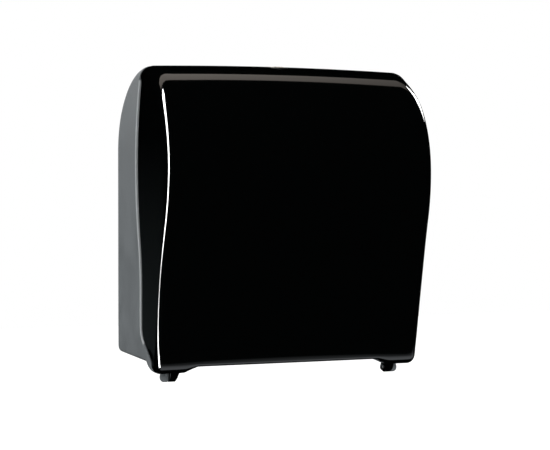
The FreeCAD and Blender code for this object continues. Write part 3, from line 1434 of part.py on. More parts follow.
node("small_screws", fuse(*small_screws))

# Battery case

case_left = -case_outer
lid_height = battery_low + case_wall + slip
lid_tall = case_tall - 2 * (case_wall + slip)
lid_rear = case_front + slip
lid_axis_x = case_left + lid_barrel
lid_axis_depth = lid_rear + lid_barrel
tab_x = -case_middle - case_tab_wide / 2


def screw_tab(x, height):
    return cut(
        block(x - case_tab_wide / 2, unit_back, height, case_tab_wide, plate_thick, case_tab),
        screw_hole(x, unit_back, height + case_tab / 2, plate_thick),
    )


case_ears = [
    block(case_left, case_front, height, 2 * lid_barrel, 2 * lid_barrel + slip, case_wall)
    for height in (battery_low, battery_low + case_tall - case_wall)
]
node("battery_case", cut(
    fuse(
        block(case_left, case_back, battery_low, case_wide, case_deep, case_tall),
        screw_tab(-case_middle, battery_low - case_tab),
        screw_tab(-case_middle, battery_low + case_tall),
        *case_ears,
    ),
    block(case_left + case_wall, case_back + case_wall, battery_low + case_wall,
          case_wide - 2 * case_wall, case_deep, case_tall - 2 * case_wall),
    rod("Z", lid_axis_x, lid_axis_depth, battery_low, lid_pin + running, case_tall),
))
lid_reach = case_left + case_wide - lid_axis_x
lid_grip_low = lid_height + (lid_tall - lid_grip_tall) / 2
node("battery_lid", fuse(
    block(lid_axis_x, lid_rear, lid_height, lid_reach, lid_thick, lid_tall),
    rod("Z", lid_axis_x, lid_axis_depth, lid_height, lid_barrel, lid_tall),
    rod("Z", lid_axis_x, lid_axis_depth, battery_low + slip, lid_pin, case_tall - 2 * slip),
    block(lid_axis_x + lid_reach, lid_rear, lid_grip_low, lid_grip, 2 * lid_thick, lid_grip_tall),
))
cell_base = battery_low + case_wall + contact_room
cell_spots = [case_back + case_wall + cell_step / 2, case_back + case_wall + cell_step * 1.5]
node("battery_cells", fuse(*[
    rod("Z", -case_middle, depth, height, cell_radius, cell_length - slip / 2)
    for depth in cell_spots for height in (cell_base, cell_base + cell_length)
]))
contacts = []
cells_top = cell_base + 2 * cell_length - slip / 2
case_ceiling = battery_low + case_tall - case_wall
for height in (battery_low + case_wall, case_ceiling - contact_thick):
    contacts.append(block(-case_middle - contact_radius, cell_spots[0] - contact_radius, height,
                          2 * contact_radius, cell_step + 2 * contact_radius, contact_thick))
for depth in cell_spots:
    contacts.append(rod("Z", -case_middle, depth, battery_low + case_wall + contact_thick,
                        contact_radius, contact_room - contact_thick))
    contacts.append(rod("Z", -case_middle, depth, cells_top, contact_radius,
                        case_ceiling - contact_thick - cells_top))
node("battery_contacts", fuse(*contacts))

# Control box

box_left = case_inner
node("control_box", cut(
    fuse(
        block(box_left, case_back, control_low, case_wide, box_deep, control_tall),
        screw_tab(case_middle, control_low - case_tab),
        screw_tab(case_middle, control_low + control_tall),
    ),
    block(box_left + case_wall, case_back + case_wall, control_low + case_wall,
          case_wide - 2 * case_wall, box_deep, control_tall - 2 * case_wall),
))
board_depth = box_front - board_back
slot_half = (slider_travel + slider_wide) / 2 + slip
slot_tall = slider_tall + 2 * slip
panel_cuts = [
    rod("Y", case_middle, box_front, button_height, button_radius + slip, lid_thick),
    rod("Y", case_middle + lamp_out, box_front, button_height, lamp_radius + slip / 2, lid_thick),
]
for height in (length_height, pause_height):
    panel_cuts.append(block(case_middle - slot_half, box_front, height - slot_tall / 2,
                            2 * slot_half, lid_thick, slot_tall))
node("control_panel", cut(
    block(box_left, box_front, control_low, case_wide, lid_thick, control_tall),
    *panel_cuts,
))
flange_front = box_front - slip
stem_end = flange_front - flange_thick - stem_length
node("control_board", fuse(
    block(box_left + case_wall, board_depth - board_thick, control_low + case_wall,
          case_wide - 2 * case_wall, board_thick, control_tall - 2 * case_wall),
    rod("Y", case_middle, board_depth, button_height, tact_radius,
        stem_end - button_travel - slip - board_depth),
    *[block(case_middle - slide_wide / 2, board_depth, height - slide_tall / 2, slide_wide, slide_tall,
            slide_tall)
      for height in (length_height, pause_height)],
))
node("status_lamp", rod("Y", case_middle + lamp_out, board_depth, button_height, lamp_radius,
                        board_back + lid_thick + lamp_past))
node("feed_button", fuse(
    rod("Y", case_middle, stem_end, button_height, stem_radius, stem_length),
    rod("Y", case_middle, flange_front - flange_thick, button_height, button_radius + button_flange,
        flange_thick),
    rod("Y", case_middle, flange_front, button_height, button_radius, slip + lid_thick + button_out),
))
for name, height in (("length_slider", length_height), ("pause_slider", pause_height)):
    grip_x = case_middle - (slider_travel + slider_wide) / 2
    node(name, fuse(
        block(grip_x, flange_front, height - slider_tall / 2, slider_wide, slip + lid_thick + slider_out,
              slider_tall),
        block(grip_x - slider_flange, flange_front - flange_thick, height - slider_tall / 2 - slider_flange,
              slider_wide + 2 * slider_flange, flange_thick, slider_tall + 2 * slider_flange),
        block(grip_x + slider_neck, board_depth + slide_tall + slip,
              height - slider_tall / 2 + slider_neck, slider_wide - 2 * slider_neck,
              flange_front - flange_thick - board_depth - slide_tall - slip,
              slider_tall - 2 * slider_neck),
    ))

# Hand sensor

recess_floor = recess_height + wall
window_wide = lens_wide - 2 * lens_flange
window_deep = lens_deep - 2 * lens_flange
node("sensor_lens", fuse(
    block(-window_wide / 2 + slip / 2, sensor_depth - window_deep / 2 + slip / 2, recess_height,
          window_wide - slip, window_deep - slip, wall),
    block(-lens_wide / 2, sensor_depth - lens_deep / 2, recess_floor, lens_wide, lens_deep, lens_flange),
))
node("sensor_holder", cut(
    block(-holder_wide / 2, sensor_depth - holder_deep / 2, recess_floor, holder_wide, holder_deep,
          holder_tall),
    block(-lens_wide / 2 - slip, sensor_depth - lens_deep / 2 - slip, recess_floor,
          lens_wide + 2 * slip, lens_deep + 2 * slip, holder_tall),
))
node("sensor_board", block(-holder_wide / 2, sensor_depth - holder_deep / 2, recess_floor + holder_tall,
                           holder_wide, holder_deep, board_thick))

# Cover switch

switch_x = plate_outer + switch_wide / 2
switch_height = switch_low + switch_tall / 2
plunger_end = rib_depth - plunger_gap
plunger_start = plunger_end - plunger_length
node("cover_switch", cut(
    block(plate_outer, switch_front - switch_deep, switch_low, switch_wide, switch_deep, switch_tall),
    rod("Y", switch_x, plunger_start - slip, switch_height, plunger_radius + running,
        beyond),
))
node("switch_plunger", rod("Y", switch_x, plunger_start, switch_height, plunger_radius, plunger_length))

# Leads

lead_depth = wall + lead_out + lead_radius
node("battery_lead", lead(
    (-case_inner, lead_depth, battery_lead_height),
    (case_inner, lead_depth, battery_lead_height),
))
clip_half = lead_radius + clip_wall
node("lead_clips", pair(cut(
    block(clip_out - clip_wide / 2, wall, battery_lead_height - clip_half, clip_wide,
          lead_depth + clip_half - wall, 2 * clip_half),
    rod("X", clip_out - clip_wide / 2, lead_depth, battery_lead_height, lead_radius, clip_wide),
)))
motor_back = plate_inner - motor_length - motor_cap
node("motor_lead", lead(
    (motor_back, motor_depth, motor_height + motor_lead_up),
    (motor_back - motor_lead_back, motor_depth, motor_height + motor_lead_up),
    (motor_back - motor_lead_back, motor_depth, unit_top + motor_lead_over),
    (case_inner, motor_depth, unit_top + motor_lead_over),
))
sensor_lead_x = case_inner + sensor_lead_in
sensor_rise_depth = box_front - sensor_lead_back
node("sensor_lead", lead(
    (holder_wide / 2, sensor_depth, sensor_lead_height),
    (sensor_lead_x, sensor_depth, sensor_lead_height),
    (sensor_lead_x, sensor_rise_depth, sensor_lead_height),
    (sensor_lead_x, sensor_rise_depth, control_low),
))

# Every piece is checked and written out

document.recompute()
os.makedirs("parts", exist_ok=True)
for thing in document.Objects:
    if "Invalid" in thing.State or "Error" in thing.State:
        raise RuntimeError(f"{thing.Label} could not be computed")
for thing in nodes:
    shape = thing.Shape
    if shape.isNull() or not shape.isValid():
        raise RuntimeError(f"{thing.Label} has no sound shape")
    shape.exportStep(f"parts/{thing.Label}.step")
    print(thing.Label, len(shape.Solids), round(shape.Volume))
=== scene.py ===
# Automatic roll towel dispenser: a gloss black cover on a textured grey housing,
# with its working parts inside.
# Lengths in the dictionaries are millimetres, measured as the part is: across from the middle,
# out from the wall, and up from the underside of the feet.
import math
import bpy
import bmesh
from mathutils import Matrix, Vector


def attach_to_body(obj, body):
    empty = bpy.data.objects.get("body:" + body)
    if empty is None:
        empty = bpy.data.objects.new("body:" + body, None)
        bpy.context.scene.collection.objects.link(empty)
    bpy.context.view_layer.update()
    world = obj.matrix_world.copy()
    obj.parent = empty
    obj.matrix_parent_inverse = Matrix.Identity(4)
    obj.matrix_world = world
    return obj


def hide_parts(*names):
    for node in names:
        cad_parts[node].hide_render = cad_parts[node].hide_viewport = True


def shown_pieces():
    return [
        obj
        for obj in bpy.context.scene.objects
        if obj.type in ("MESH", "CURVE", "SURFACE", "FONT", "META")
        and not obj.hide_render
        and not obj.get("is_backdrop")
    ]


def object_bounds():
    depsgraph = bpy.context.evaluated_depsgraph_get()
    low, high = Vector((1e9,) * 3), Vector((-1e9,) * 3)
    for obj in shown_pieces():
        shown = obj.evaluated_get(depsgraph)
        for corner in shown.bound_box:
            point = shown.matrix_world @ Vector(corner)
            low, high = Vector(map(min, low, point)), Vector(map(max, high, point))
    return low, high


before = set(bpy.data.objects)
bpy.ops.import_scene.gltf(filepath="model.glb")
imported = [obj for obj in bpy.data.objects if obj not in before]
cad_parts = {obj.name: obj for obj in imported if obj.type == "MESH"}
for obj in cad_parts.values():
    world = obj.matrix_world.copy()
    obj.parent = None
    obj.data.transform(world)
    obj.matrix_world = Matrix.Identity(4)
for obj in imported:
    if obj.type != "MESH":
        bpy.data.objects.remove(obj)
cadLow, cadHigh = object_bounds()
print("frame loaded:", len(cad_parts), "nodes")

mm = 0.001
feetDrop = 200  # the frame's origin is this far above the feet
joinGap = 0.00001  # metres within which the ends of two skins are one point
poleGap = 0.0000001  # and within which the points of a turned shape's pole are one


def at(across, depth, height):
    return Vector((across * mm, -depth * mm, (height - feetDrop) * mm))


# Camera, set where the photograph was taken from
cameraView = {"place": (-631.8, 1805.6, 213.7), "yaw": 20.54, "down": 1.41, "lens": 97.44, "sensor": 36,
              "near": 0.05}

cameraData = bpy.data.cameras.new("camera")
cameraData.lens = cameraView["lens"]
cameraData.sensor_width = cameraView["sensor"]
cameraData.clip_start = cameraView["near"]
cameraObject = bpy.data.objects.new("camera", cameraData)
cameraObject.location = at(*cameraView["place"])
cameraObject.rotation_euler = (math.radians(90 - cameraView["down"]), 0, math.radians(-cameraView["yaw"]))
bpy.context.scene.collection.objects.link(cameraObject)
bpy.context.scene.camera = cameraObject
bpy.context.scene.view_settings.view_transform = "Standard"


# Materials

def linear(hexColour):
    # sRGB hex to the linear colour that the shader wants
    channels = [int(hexColour[i:i + 2], 16) / 255 for i in (1, 3, 5)]
    return [c / 12.92 if c <= 0.04045 else ((c + 0.055) / 1.055) ** 2.4 for c in channels] + [1]


def addNode(tree, kind, links=None, **settings):
    # one node, its inputs (each a value, or the output it is joined to) and its settings
    made = tree.nodes.new("ShaderNode" + kind)
    for name, value in settings.items():
        setattr(made, name, value)
    for name, value in (links or {}).items():
        if isinstance(value, bpy.types.NodeSocket):
            tree.links.new(value, made.inputs[name])
        else:
            made.inputs[name].default_value = value
    return made


def startMaterial(name):
    material = bpy.data.materials.new(name)
    material.use_nodes = True
    tree = material.node_tree
    tree.nodes.clear()
    return material, tree


# the noises in a surface: scale of the broad one, the span that is used, and the drift of gloss and tone
plasticNoise = {"broad": 22.0, "span": {"From Min": 0.3, "From Max": 0.7}, "gloss": (0.88, 1.12)}
metalNoise = {"span": {"From Min": 0.25, "From Max": 0.75}, "gloss": (0.7, 1.3), "tone": (0.9, 1.08)}


def finishMaterial(material, tree, grain, tint, rough, bump, edge, settings):
    # the surface itself: bump is the grain's height in mm with its strength, edge the radius in mm
    # that edges shade with
    soft = addNode(tree, "Bevel", {"Radius": edge * mm}, samples=4)
    relief = addNode(tree, "Bump", {
        "Height": grain.outputs["Fac"], "Distance": bump[0] * mm, "Strength": bump[1],
        "Normal": soft.outputs["Normal"]})
    surface = addNode(tree, "BsdfPrincipled", {
        "Base Color": tint.outputs["Vector"], "Roughness": rough.outputs["Result"],
        "Normal": relief.outputs["Normal"], **settings})
    addNode(tree, "OutputMaterial", {"Surface": surface.outputs["BSDF"]})
    return material


def mouldedPlastic(name, colour, roughness, grain, depth, shade=0.06, ior=1.54, specular=0.5, edge=0.25):
    # grain is the texture's pitch in mm and depth its height, shade how far the colour drifts
    material, tree = startMaterial(name)
    place = addNode(tree, "TexCoord").outputs["Object"]
    fine = addNode(tree, "TexNoise", {"Vector": place, "Scale": 1 / (grain * mm), "Detail": 3.0})
    broad = addNode(tree, "TexNoise", {"Vector": place, "Scale": plasticNoise["broad"], "Detail": 2.0})
    low, high = plasticNoise["gloss"]
    drift, speck, worn = [
        addNode(tree, "MapRange", {
            "Value": noise.outputs["Fac"], **plasticNoise["span"], "To Min": least, "To Max": most})
        for noise, least, most in ((broad, 1 - shade, 1 + shade), (fine, 1 - shade, 1 + shade),
                                   (broad, roughness * low, roughness * high))]
    both = addNode(tree, "Math", {0: drift.outputs["Result"], 1: speck.outputs["Result"]},
                   operation="MULTIPLY")
    tint = addNode(tree, "VectorMath", {0: linear(colour)[:3], "Scale": both.outputs["Value"]},
                   operation="SCALE")
    return finishMaterial(material, tree, fine, tint, worn, (depth, 1.0), edge,
                          {"IOR": ior, "Specular IOR Level": specular})


def workedMetal(name, colour, roughness, grain, depth, stretch=(1, 1, 1), edge=0.2):
    # stretch draws the grain out along an axis, as rolling and drawing do
    material, tree = startMaterial(name)
    place = addNode(tree, "TexCoord").outputs["Object"]
    turned = addNode(tree, "Mapping", {"Vector": place, "Scale": stretch})
    fine = addNode(tree, "TexNoise", {
        "Vector": turned.outputs["Vector"], "Scale": 1 / (grain * mm), "Detail": 4.0})
    gloss = [roughness * share for share in metalNoise["gloss"]]
    rough, tone = [
        addNode(tree, "MapRange", {
            "Value": fine.outputs["Fac"], **metalNoise["span"], "To Min": least, "To Max": most})
        for least, most in (gloss, metalNoise["tone"])]
    tint = addNode(tree, "VectorMath", {0: linear(colour)[:3], "Scale": tone.outputs["Result"]},
                   operation="SCALE")
    return finishMaterial(material, tree, fine, tint, rough, (depth, 0.6), edge, {"Metallic": 1.0})


# ABS moulded in a polished tool: deep black with sharp reflections
coverBlack = mouldedPlastic("gloss_black_moulded_abs", "#030404", 0.05, 9, 0.002, shade=0.02, edge=0.3)
# ABS from a spark-eroded tool: even grey with a fine dry grain
housingGrey = mouldedPlastic("grained_grey_moulded_abs", "#74797c", 0.5, 1.6, 0.12, shade=0.08,
                             specular=0.22)
# a much lighter grey, without grain, on the housing's rounded edge at the seam: a painted highlight line
seamHighlightGrey = mouldedPlastic("painted_highlight_seam_grey_abs", "#b2b6b8", 0.35, 1.6, 0.0, shade=0.02,
                          specular=0.3)
# ABS frames: plain satin grey
frameGrey = mouldedPlastic("satin_grey_moulded_abs", "#95989a", 0.38, 1.1, 0.01)
# black satin ABS of hubs, clips and the switch
innerBlack = mouldedPlastic("satin_black_moulded_abs", "#1c1d1e", 0.35, 1.0, 0.01)
# the cover's inside, from the tool's core side: dull black
coreBlack = mouldedPlastic("dull_black_core_side_abs", "#161718", 0.6, 1.0, 0.0, specular=0.15)
# acetal gears: waxy off-white
gearWhite = mouldedPlastic("natural_moulded_acetal", "#e4e2da", 0.3, 1.5, 0.006)
# zinc-plated steel: bright with a slight blue
zincSteel = workedMetal("zinc_plated_steel", "#c6cacd", 0.28, 0.6, 0.003)
# hard-drawn spring wire: darker, lightly oiled
springSteel = workedMetal("hard_drawn_spring_wire", "#a7abad", 0.3, 0.3, 0.002)
# rolled stainless sheet: fine lines along its length
bladeSteel = workedMetal("rolled_stainless_sheet", "#cfd0ce", 0.22, 0.25, 0.002, (0.05, 1, 1))
# nickel-plated zinc casting: warm, nearly mirror
lockNickel = workedMetal("nickel_plated_zinc_casting", "#cfc9bd", 0.14, 0.8, 0.001)
# drawn steel can of a small motor: satin plating
motorPlate = workedMetal("plated_drawn_steel_can", "#b9bcbd", 0.32, 0.4, 0.003, (0.1, 1, 1))
# turned brass: yellow, fine turning marks
brassGold = workedMetal("turned_brass", "#c9a35a", 0.24, 0.3, 0.002)
# moulded rubber: dull black
gripRubber = mouldedPlastic("moulded_nitrile_rubber", "#2b2b2c", 0.75, 0.5, 0.02, ior=1.5)
# shrink sleeve of a cell: smooth dark PVC
cellSleeve = mouldedPlastic("pvc_shrink_sleeve", "#242a35", 0.25, 3, 0.003)
# glass-epoxy board under green solder mask
boardGreen = mouldedPlastic("solder_masked_glass_epoxy", "#1c5f3a", 0.3, 0.8, 0.004, shade=0.12)
# infrared-pass window: black with a dark red body
windowRed = mouldedPlastic("infrared_window_polycarbonate", "#1d090b", 0.08, 6, 0.001, ior=1.58)
# light guide of frosted polycarbonate
lampWhite = mouldedPlastic("frosted_polycarbonate", "#dfe6e0", 0.35, 0.8, 0.004, ior=1.58)
# PVC insulation
leadRed = mouldedPlastic("red_pvc_insulation", "#a82520", 0.4, 1.2, 0.006)
leadGrey = mouldedPlastic("grey_pvc_insulation", "#8f9396", 0.42, 1.2, 0.006)
# blue control keys
keyBlue = mouldedPlastic("blue_moulded_abs", "#33699b", 0.32, 1.0, 0.008)

finishes = [
    (coverBlack, ["front_cover"]),
    (housingGrey, ["rear_housing"]),
    (frameGrey, ["roll_arm_left", "roll_arm_right", "arm_bracket", "side_plate_left", "side_plate_right",
                 "back_panel", "front_panel", "pinch_carrier", "control_panel"]),
    (innerBlack, ["hub_left", "hub_right", "roller_core", "gear_cover", "rear_guide", "front_guide",
                  "battery_case", "battery_lid", "control_box", "sensor_holder", "cover_switch",
                  "lead_clips"]),
    (gearWhite, ["roller_bushes", "drive_gear", "idler_gear", "pinch_rollers"]),
    (gripRubber, ["roller_sleeves"]),
    (zincSteel, ["hinge_pins", "lock_cam", "lock_keeper", "hub_axle_left", "hub_axle_right", "roller_shaft",
                 "motor_shaft", "pivot_pins", "return_springs", "pinch_shaft", "panel_screws",
                 "small_screws"]),
    (bladeSteel, ["tear_blade"]),
    (lockNickel, ["lock_barrel", "lock_nut", "lock_plug"]),
    (motorPlate, ["motor"]),
    (brassGold, ["motor_pinion", "battery_contacts"]),
    (keyBlue, ["feed_knob", "feed_button", "length_slider", "pause_slider"]),
    (cellSleeve, ["battery_cells"]),
    (boardGreen, ["control_board", "sensor_board"]),
    (windowRed, ["sensor_lens"]),
    (lampWhite, ["status_lamp"]),
    (leadRed, ["switch_plunger", "battery_lead", "motor_lead"]),
    (leadGrey, ["sensor_lead"]),
]
for finish, nodeNames in finishes:
    for nodeName in nodeNames:
        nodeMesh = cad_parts[nodeName].data
        nodeMesh.materials.clear()
        nodeMesh.materials.append(finish)
print("finishes on", sum(len(nodeNames) for finish, nodeNames in finishes), "nodes")


# Making pieces

def addObject(shape, name, material=None):
    # a bmesh made into an object of its own
    mesh = bpy.data.meshes.new(name)
    shape.to_mesh(mesh)
    shape.free()
    if material:
        mesh.materials.append(material)
    made = bpy.data.objects.new(name, mesh)
    bpy.context.scene.collection.objects.link(made)
    return made


def faceOut(shape):
    bmesh.ops.recalc_face_normals(shape, faces=shape.faces)


def finishPiece(shape, name, material, body, nodes=(), smooth=35, round=0.0):
    # turn a bmesh into a piece that rides on a body and stands for the nodes it takes the place of
    faceOut(shape)
    piece = addObject(shape, name, material)
    piece.data.shade_smooth()
    piece.data.set_sharp_from_angle(angle=math.radians(smooth))
    if round:
        bevel = piece.modifiers.new("rounded edges", "BEVEL")
        bevel.width = round * mm
        bevel.segments = 2
        bevel.limit_method = "ANGLE"
        bevel.angle_limit = math.radians(smooth)
    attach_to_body(piece, body)
    if nodes:
        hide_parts(*nodes)
    return piece


def combine(piece, operation, shape, smooth=35):
    # cut a shape out of a piece, or join it on
    faceOut(shape)
    tool = addObject(shape, "tool")
    change = piece.modifiers.new(operation.lower(), "BOOLEAN")
    change.operation = operation
    change.solver = "EXACT"
    change.use_self = operation == "UNION"
    change.object = tool
    # what the modifiers give becomes the piece's own mesh
    mesh = bpy.data.meshes.new_from_object(piece.evaluated_get(bpy.context.evaluated_depsgraph_get()))
    piece.modifiers.clear()
    piece.data = mesh
    bpy.data.objects.remove(tool)
    piece.data.set_sharp_from_angle(angle=math.radians(smooth))


def attach(piece, shape, smooth=35):
    # moulded-on details, as closed shapes in the piece's own mesh
    faceOut(shape)
    mesh = bpy.data.meshes.new("details")
    shape.to_mesh(mesh)
    shape.clear()
    shape.from_mesh(piece.data)
    shape.from_mesh(mesh)
    shape.to_mesh(piece.data)
    shape.free()
    bpy.data.meshes.remove(mesh)
    piece.data.shade_smooth()
    piece.data.set_sharp_from_angle(angle=math.radians(smooth))


# The body's outline and the seam, both seen from the side

bodyShape = {
    "halfWide": 165, "wall": 3, "seamGap": 0.6, "leastRound": 0.6,
    "waistMiddle": (1093.05, -93.54), "waistRadius": 927, "footRadius": 12, "toeTurn": 45,
    "recessHalf": 112, "mouthHalf": 131, "recessHeight": 7.6, "recessFoot": 4,
    "wallLow": 20, "heelRadius": 8, "baseHeight": 10.4, "lipRear": 127.4, "lipMiddle": 148.2,
    "lipRadius": 26,
}
# arcs of the outline: the middle as (depth, height), the radius, and the degrees at its two ends
frontArcs = {
    "top": ((117, 235), 125, 92.4, 90), "crown": ((117, 288), 72, 90, 52.26),
    "shoulder": ((75.98, 235), 139.02, 52.26, 42), "front": ((75.98, 235), 139.02, 42, 0),
    "belly": ((15, 235), 200, 0, -16.95),
}
backArcs = {"top": ((117, 235), 125, 92.35, 143.13), "back": ((85, 259), 85, 143.13, 180)}
# arcs of the seam from the top down: height of the lower end, depth and height of the middle, radius;
# a radius below zero is an arc behind its middle, and a radius of zero an upright line
seamArcs = [
    (243, 356.7, 243, -270), (149.83, 446.7, 243, -360), (94.96, -105.8, 94.96, 212),
    (50.4, 106.2, 94.96, 0), (35.05, 124.2, 50.4, -18), (-100, 133, -5.29, 25),
]
# the seam's slant above its last arc: its heights, the depth at its top, and degrees under level
seamSlant = {"low": 16.05, "high": 35.05, "depth": 114.8, "lean": 31.4}
# corner rounding between the front and the sides, by height
cornerRounding = [
    (0, 9), (17, 6.5), (30, 4.4), (54, 2.4), (79, 1.5), (103, 1.2), (127, 1.7), (151, 2.9),
    (176, 4.2), (235, 6.4), (271, 7), (305, 8.4), (322, 10), (338, 14), (350, 17), (360, 12),
]
# how far the outside lies back at its ends, by height: the crown's bow, less of it down the front
frontBow = [(0, 0), (20, 0.6), (60, 1), (300, 1), (345, 2.2), (360, 3)]


def between(table, value):
    # a smooth line through a table of (place, size)
    if value <= table[0][0]:
        return table[0][1]
    slopes = [(b[1] - a[1]) / (b[0] - a[0]) for a, b in zip(table, table[1:])]
    inner = [(a + b) / 2 if a * b > 0 else 0 for a, b in zip(slopes, slopes[1:])]
    leans = [slopes[0]] + inner + [slopes[-1]]
    for i, ((low, first), (high, second)) in enumerate(zip(table, table[1:])):
        if value <= high:
            wide = high - low
            share = (value - low) / wide
            rest = 1 - share
            return (first * (1 + 2 * share) * rest ** 2 + leans[i] * wide * share * rest ** 2
                    + second * (1 + 2 * rest) * share ** 2 - leans[i + 1] * wide * rest * share ** 2)
    return table[-1][1]


def seamDepth(height):
    # depth of the middle of the seam at a height
    if seamSlant["low"] < height <= seamSlant["high"]:
        return seamSlant["depth"] + (seamSlant["high"] - height) / math.tan(math.radians(seamSlant["lean"]))
    for low, depth, level, radius in seamArcs:
        if height > low:
            return depth + math.copysign(math.sqrt(max(radius ** 2 - (height - level) ** 2, 0)), radius)


def arcPoint(middle, radius, degrees):
    turn = math.radians(degrees)
    return (middle[0] + radius * math.cos(turn), middle[1] + radius * math.sin(turn))


def mix(start, end, share):
    return start + (end - start) * share


def alongArc(middle, radius, start, end, share):
    # a point of an arc and the degrees that it faces
    turn = mix(start, end, share)
    return arcPoint(middle, radius, turn), turn


def recessLift(across):
    # height of the underside between the feet
    share = (abs(across) - bodyShape["recessHalf"]) / (bodyShape["mouthHalf"] - bodyShape["recessHalf"])
    share = min(max(share, 0), 1)
    return bodyShape["recessHeight"] * (0.5 + 0.5 * math.cos(math.pi * share))


def footMiddle(lift):
    # middle and radius of the rounding under the front, smaller over the recess
    share = lift / bodyShape["recessHeight"]
    radius = mix(bodyShape["footRadius"], bodyShape["recessFoot"], share)
    height = lift + radius
    waist, reach = bodyShape["waistMiddle"], bodyShape["waistRadius"] + radius
    depth = waist[0] - math.sqrt(reach ** 2 - (height - waist[1]) ** 2)
    lean = math.degrees(math.atan2(height - waist[1], waist[0] - depth))
    return (depth, height), radius, lean


def frontPoint(zone, share, lift):
    # a point of the cover's outline and the direction it faces, as (depth, height) pairs
    middle, radius, lean = footMiddle(lift)
    toe = -bodyShape["toeTurn"]
    waist = (bodyShape["waistMiddle"], -bodyShape["waistRadius"], frontArcs["belly"][3], -lean)
    arcs = {**frontArcs, "waist": waist, "toe": (middle, radius, -lean, toe),
            "sole": (middle, radius, toe, -90)}
    if zone in arcs:
        spot, turn = alongArc(*arcs[zone], share)
    else:
        turn = -90
        spot = (mix(middle[0], seamDepth(lift) + bodyShape["seamGap"] / 2, share), lift)
    return spot, arcPoint((0, 0), 1, turn)


def zoneRows(zones):
    # rows along an outline: each zone's steps, ends shared
    rows = [(zones[0][0], 0.0)]
    for zone, steps in zones:
        rows += [(zone, (step + 1) / steps) for step in range(steps)]
    return rows


def mappedGrid(shape, columns, rows, place):
    # a grid whose point in column i and row j is moved to place(i, j)
    made = bmesh.ops.create_grid(shape, x_segments=columns, y_segments=rows, size=0.5)
    for point in made["verts"]:
        i = round((point.co.x + 0.5) * columns)
        j = round((point.co.y + 0.5) * rows)
        point.co = place(i, j)


def addPrism(shape, outline, start, end, axis="x"):
    # an outline drawn out along an axis: x through (depth, height), y through (across, height)
    def place(first, second, along):
        return at(along, first, second) if axis == "x" else at(first, along, second)

    face = shape.faces.new([shape.verts.new(place(*spot, start)) for spot in outline])
    grown = bmesh.ops.extrude_face_region(shape, geom=[face], use_keep_orig=True)["geom"]
    moved = [part for part in grown if isinstance(part, bmesh.types.BMVert)]
    bmesh.ops.translate(shape, verts=moved, vec=place(0, 0, end) - place(0, 0, start))
    return list({v for v in face.verts} | set(moved))


def axisPlace(middle, axis):
    # a point on an axis, the axis's direction and one across it
    if axis == "x":
        return at(0, *middle), Vector((1, 0, 0)), Vector((0, -1, 0))
    if axis == "y":
        return at(middle[0], 0, middle[1]), Vector((0, -1, 0)), Vector((1, 0, 0))
    return at(*middle, 0), Vector((0, 0, 1)), Vector((1, 0, 0))


def addTurned(shape, profile, middle, axis="x", steps=32):
    # a profile of (radius, along) points spun about an axis through middle, the two measures across it;
    # one that doesn't start on the axis is closed to a ring
    centre, aim, out = axisPlace(middle, axis)
    run = [shape.verts.new(centre + out * radius * mm + aim * along * mm) for radius, along in profile]
    ends = run[1:] if profile[0][0] == 0 else run[1:] + run[:1]
    edges = [shape.edges.new(pair) for pair in zip(run, ends)]
    bmesh.ops.spin(shape, geom=run + edges, cent=centre, axis=aim, angle=math.radians(360),
                   steps=steps, use_merge=True)
    bmesh.ops.remove_doubles(shape, verts=shape.verts, dist=poleGap)


def circleOutline(first, second, radius, steps=24, start=0, end=360):
    return [(first + radius * math.cos(math.radians(start + (end - start) * i / steps)),
             second + radius * math.sin(math.radians(start + (end - start) * i / steps)))
            for i in range(steps if end - start == 360 else steps + 1)]


def addBox(shape, across, depth, height, round=0.0):
    # a box between two corners, its edges rounded
    low, high = at(across[0], depth[1], height[0]), at(across[1], depth[0], height[1])
    place = Matrix.Translation((low + high) / 2) @ Matrix.Diagonal((*(high - low), 1))
    made = bmesh.ops.create_cube(shape, size=1, matrix=place)["verts"]
    if round:
        edges = list({edge for point in made for edge in point.link_edges})
        bmesh.ops.bevel(shape, geom=edges, offset=round * mm, offset_type="OFFSET", affect="EDGES",
                        segments=2, profile=0.5, material=-1)


def addCoil(shape, middle, axis, start, end, radius, wire, turns, perTurn=18, sides=8):
    # a wire wound round an axis from start to end, radius to the wire's middle
    centre, aim, out = axisPlace(middle, axis)
    steps = round(turns * perTurn)
    spot = centre + out * radius * mm + aim * (start + wire / 2) * mm
    turn = Matrix((out, aim, out.cross(aim))).transposed().to_4x4()
    ring = bmesh.ops.create_circle(shape, radius=wire / 2 * mm, segments=sides,
                                   matrix=Matrix.Translation(spot) @ turn)
    edges = list({edge for point in ring["verts"] for edge in point.link_edges})
    bmesh.ops.spin(shape, geom=ring["verts"] + edges, cent=centre, axis=aim, steps=steps,
                   dvec=aim * (end - start - wire) / steps * mm, angle=math.radians(360 * turns))
    bmesh.ops.holes_fill(shape, edges=[edge for edge in shape.edges if edge.is_boundary], sides=sides)


def slotOutline(first, second, long, wide):
    # a slot with round ends, long along the first measure
    reach = (long - wide) / 2
    return (circleOutline(first + reach, second, wide / 2, 8, -90, 90)
            + circleOutline(first - reach, second, wide / 2, 8, 90, 270))


hinge = {
    "axis": (141, -6), "boss": 6, "earInner": 131.5, "earOuter": 141.8, "lugInner": 142.2, "lugOuter": 151,
    "earTop": 1.5, "earLean": 0.2, "earFront": [(147, -11.2), (153, -6.5), (157, 1.5), (150, 1.5)],
    "lugRound": 4.5, "lugEdge": 0.6, "lugTop": [(146.6, 5.5), (135.4, 5.5)], "webInset": 0.3,
    # steps and degrees of the arcs round the axis
    "earArc": (20, 110, 290), "webArc": (20, 180, 360), "lugArc": (6, 0, 90),
    # radius, and how far along from the ear's inner side and from the lug's outer side
    "pinHead": [(0, -0.9), (1.5, -0.8), (3.2, -0.3), (3.6, 0.3), (3.6, 1.2), (2.5, 1.4)],
    "pinTail": [(2.5, -1), (1.9, -0.4), (0, -0.4)],
}


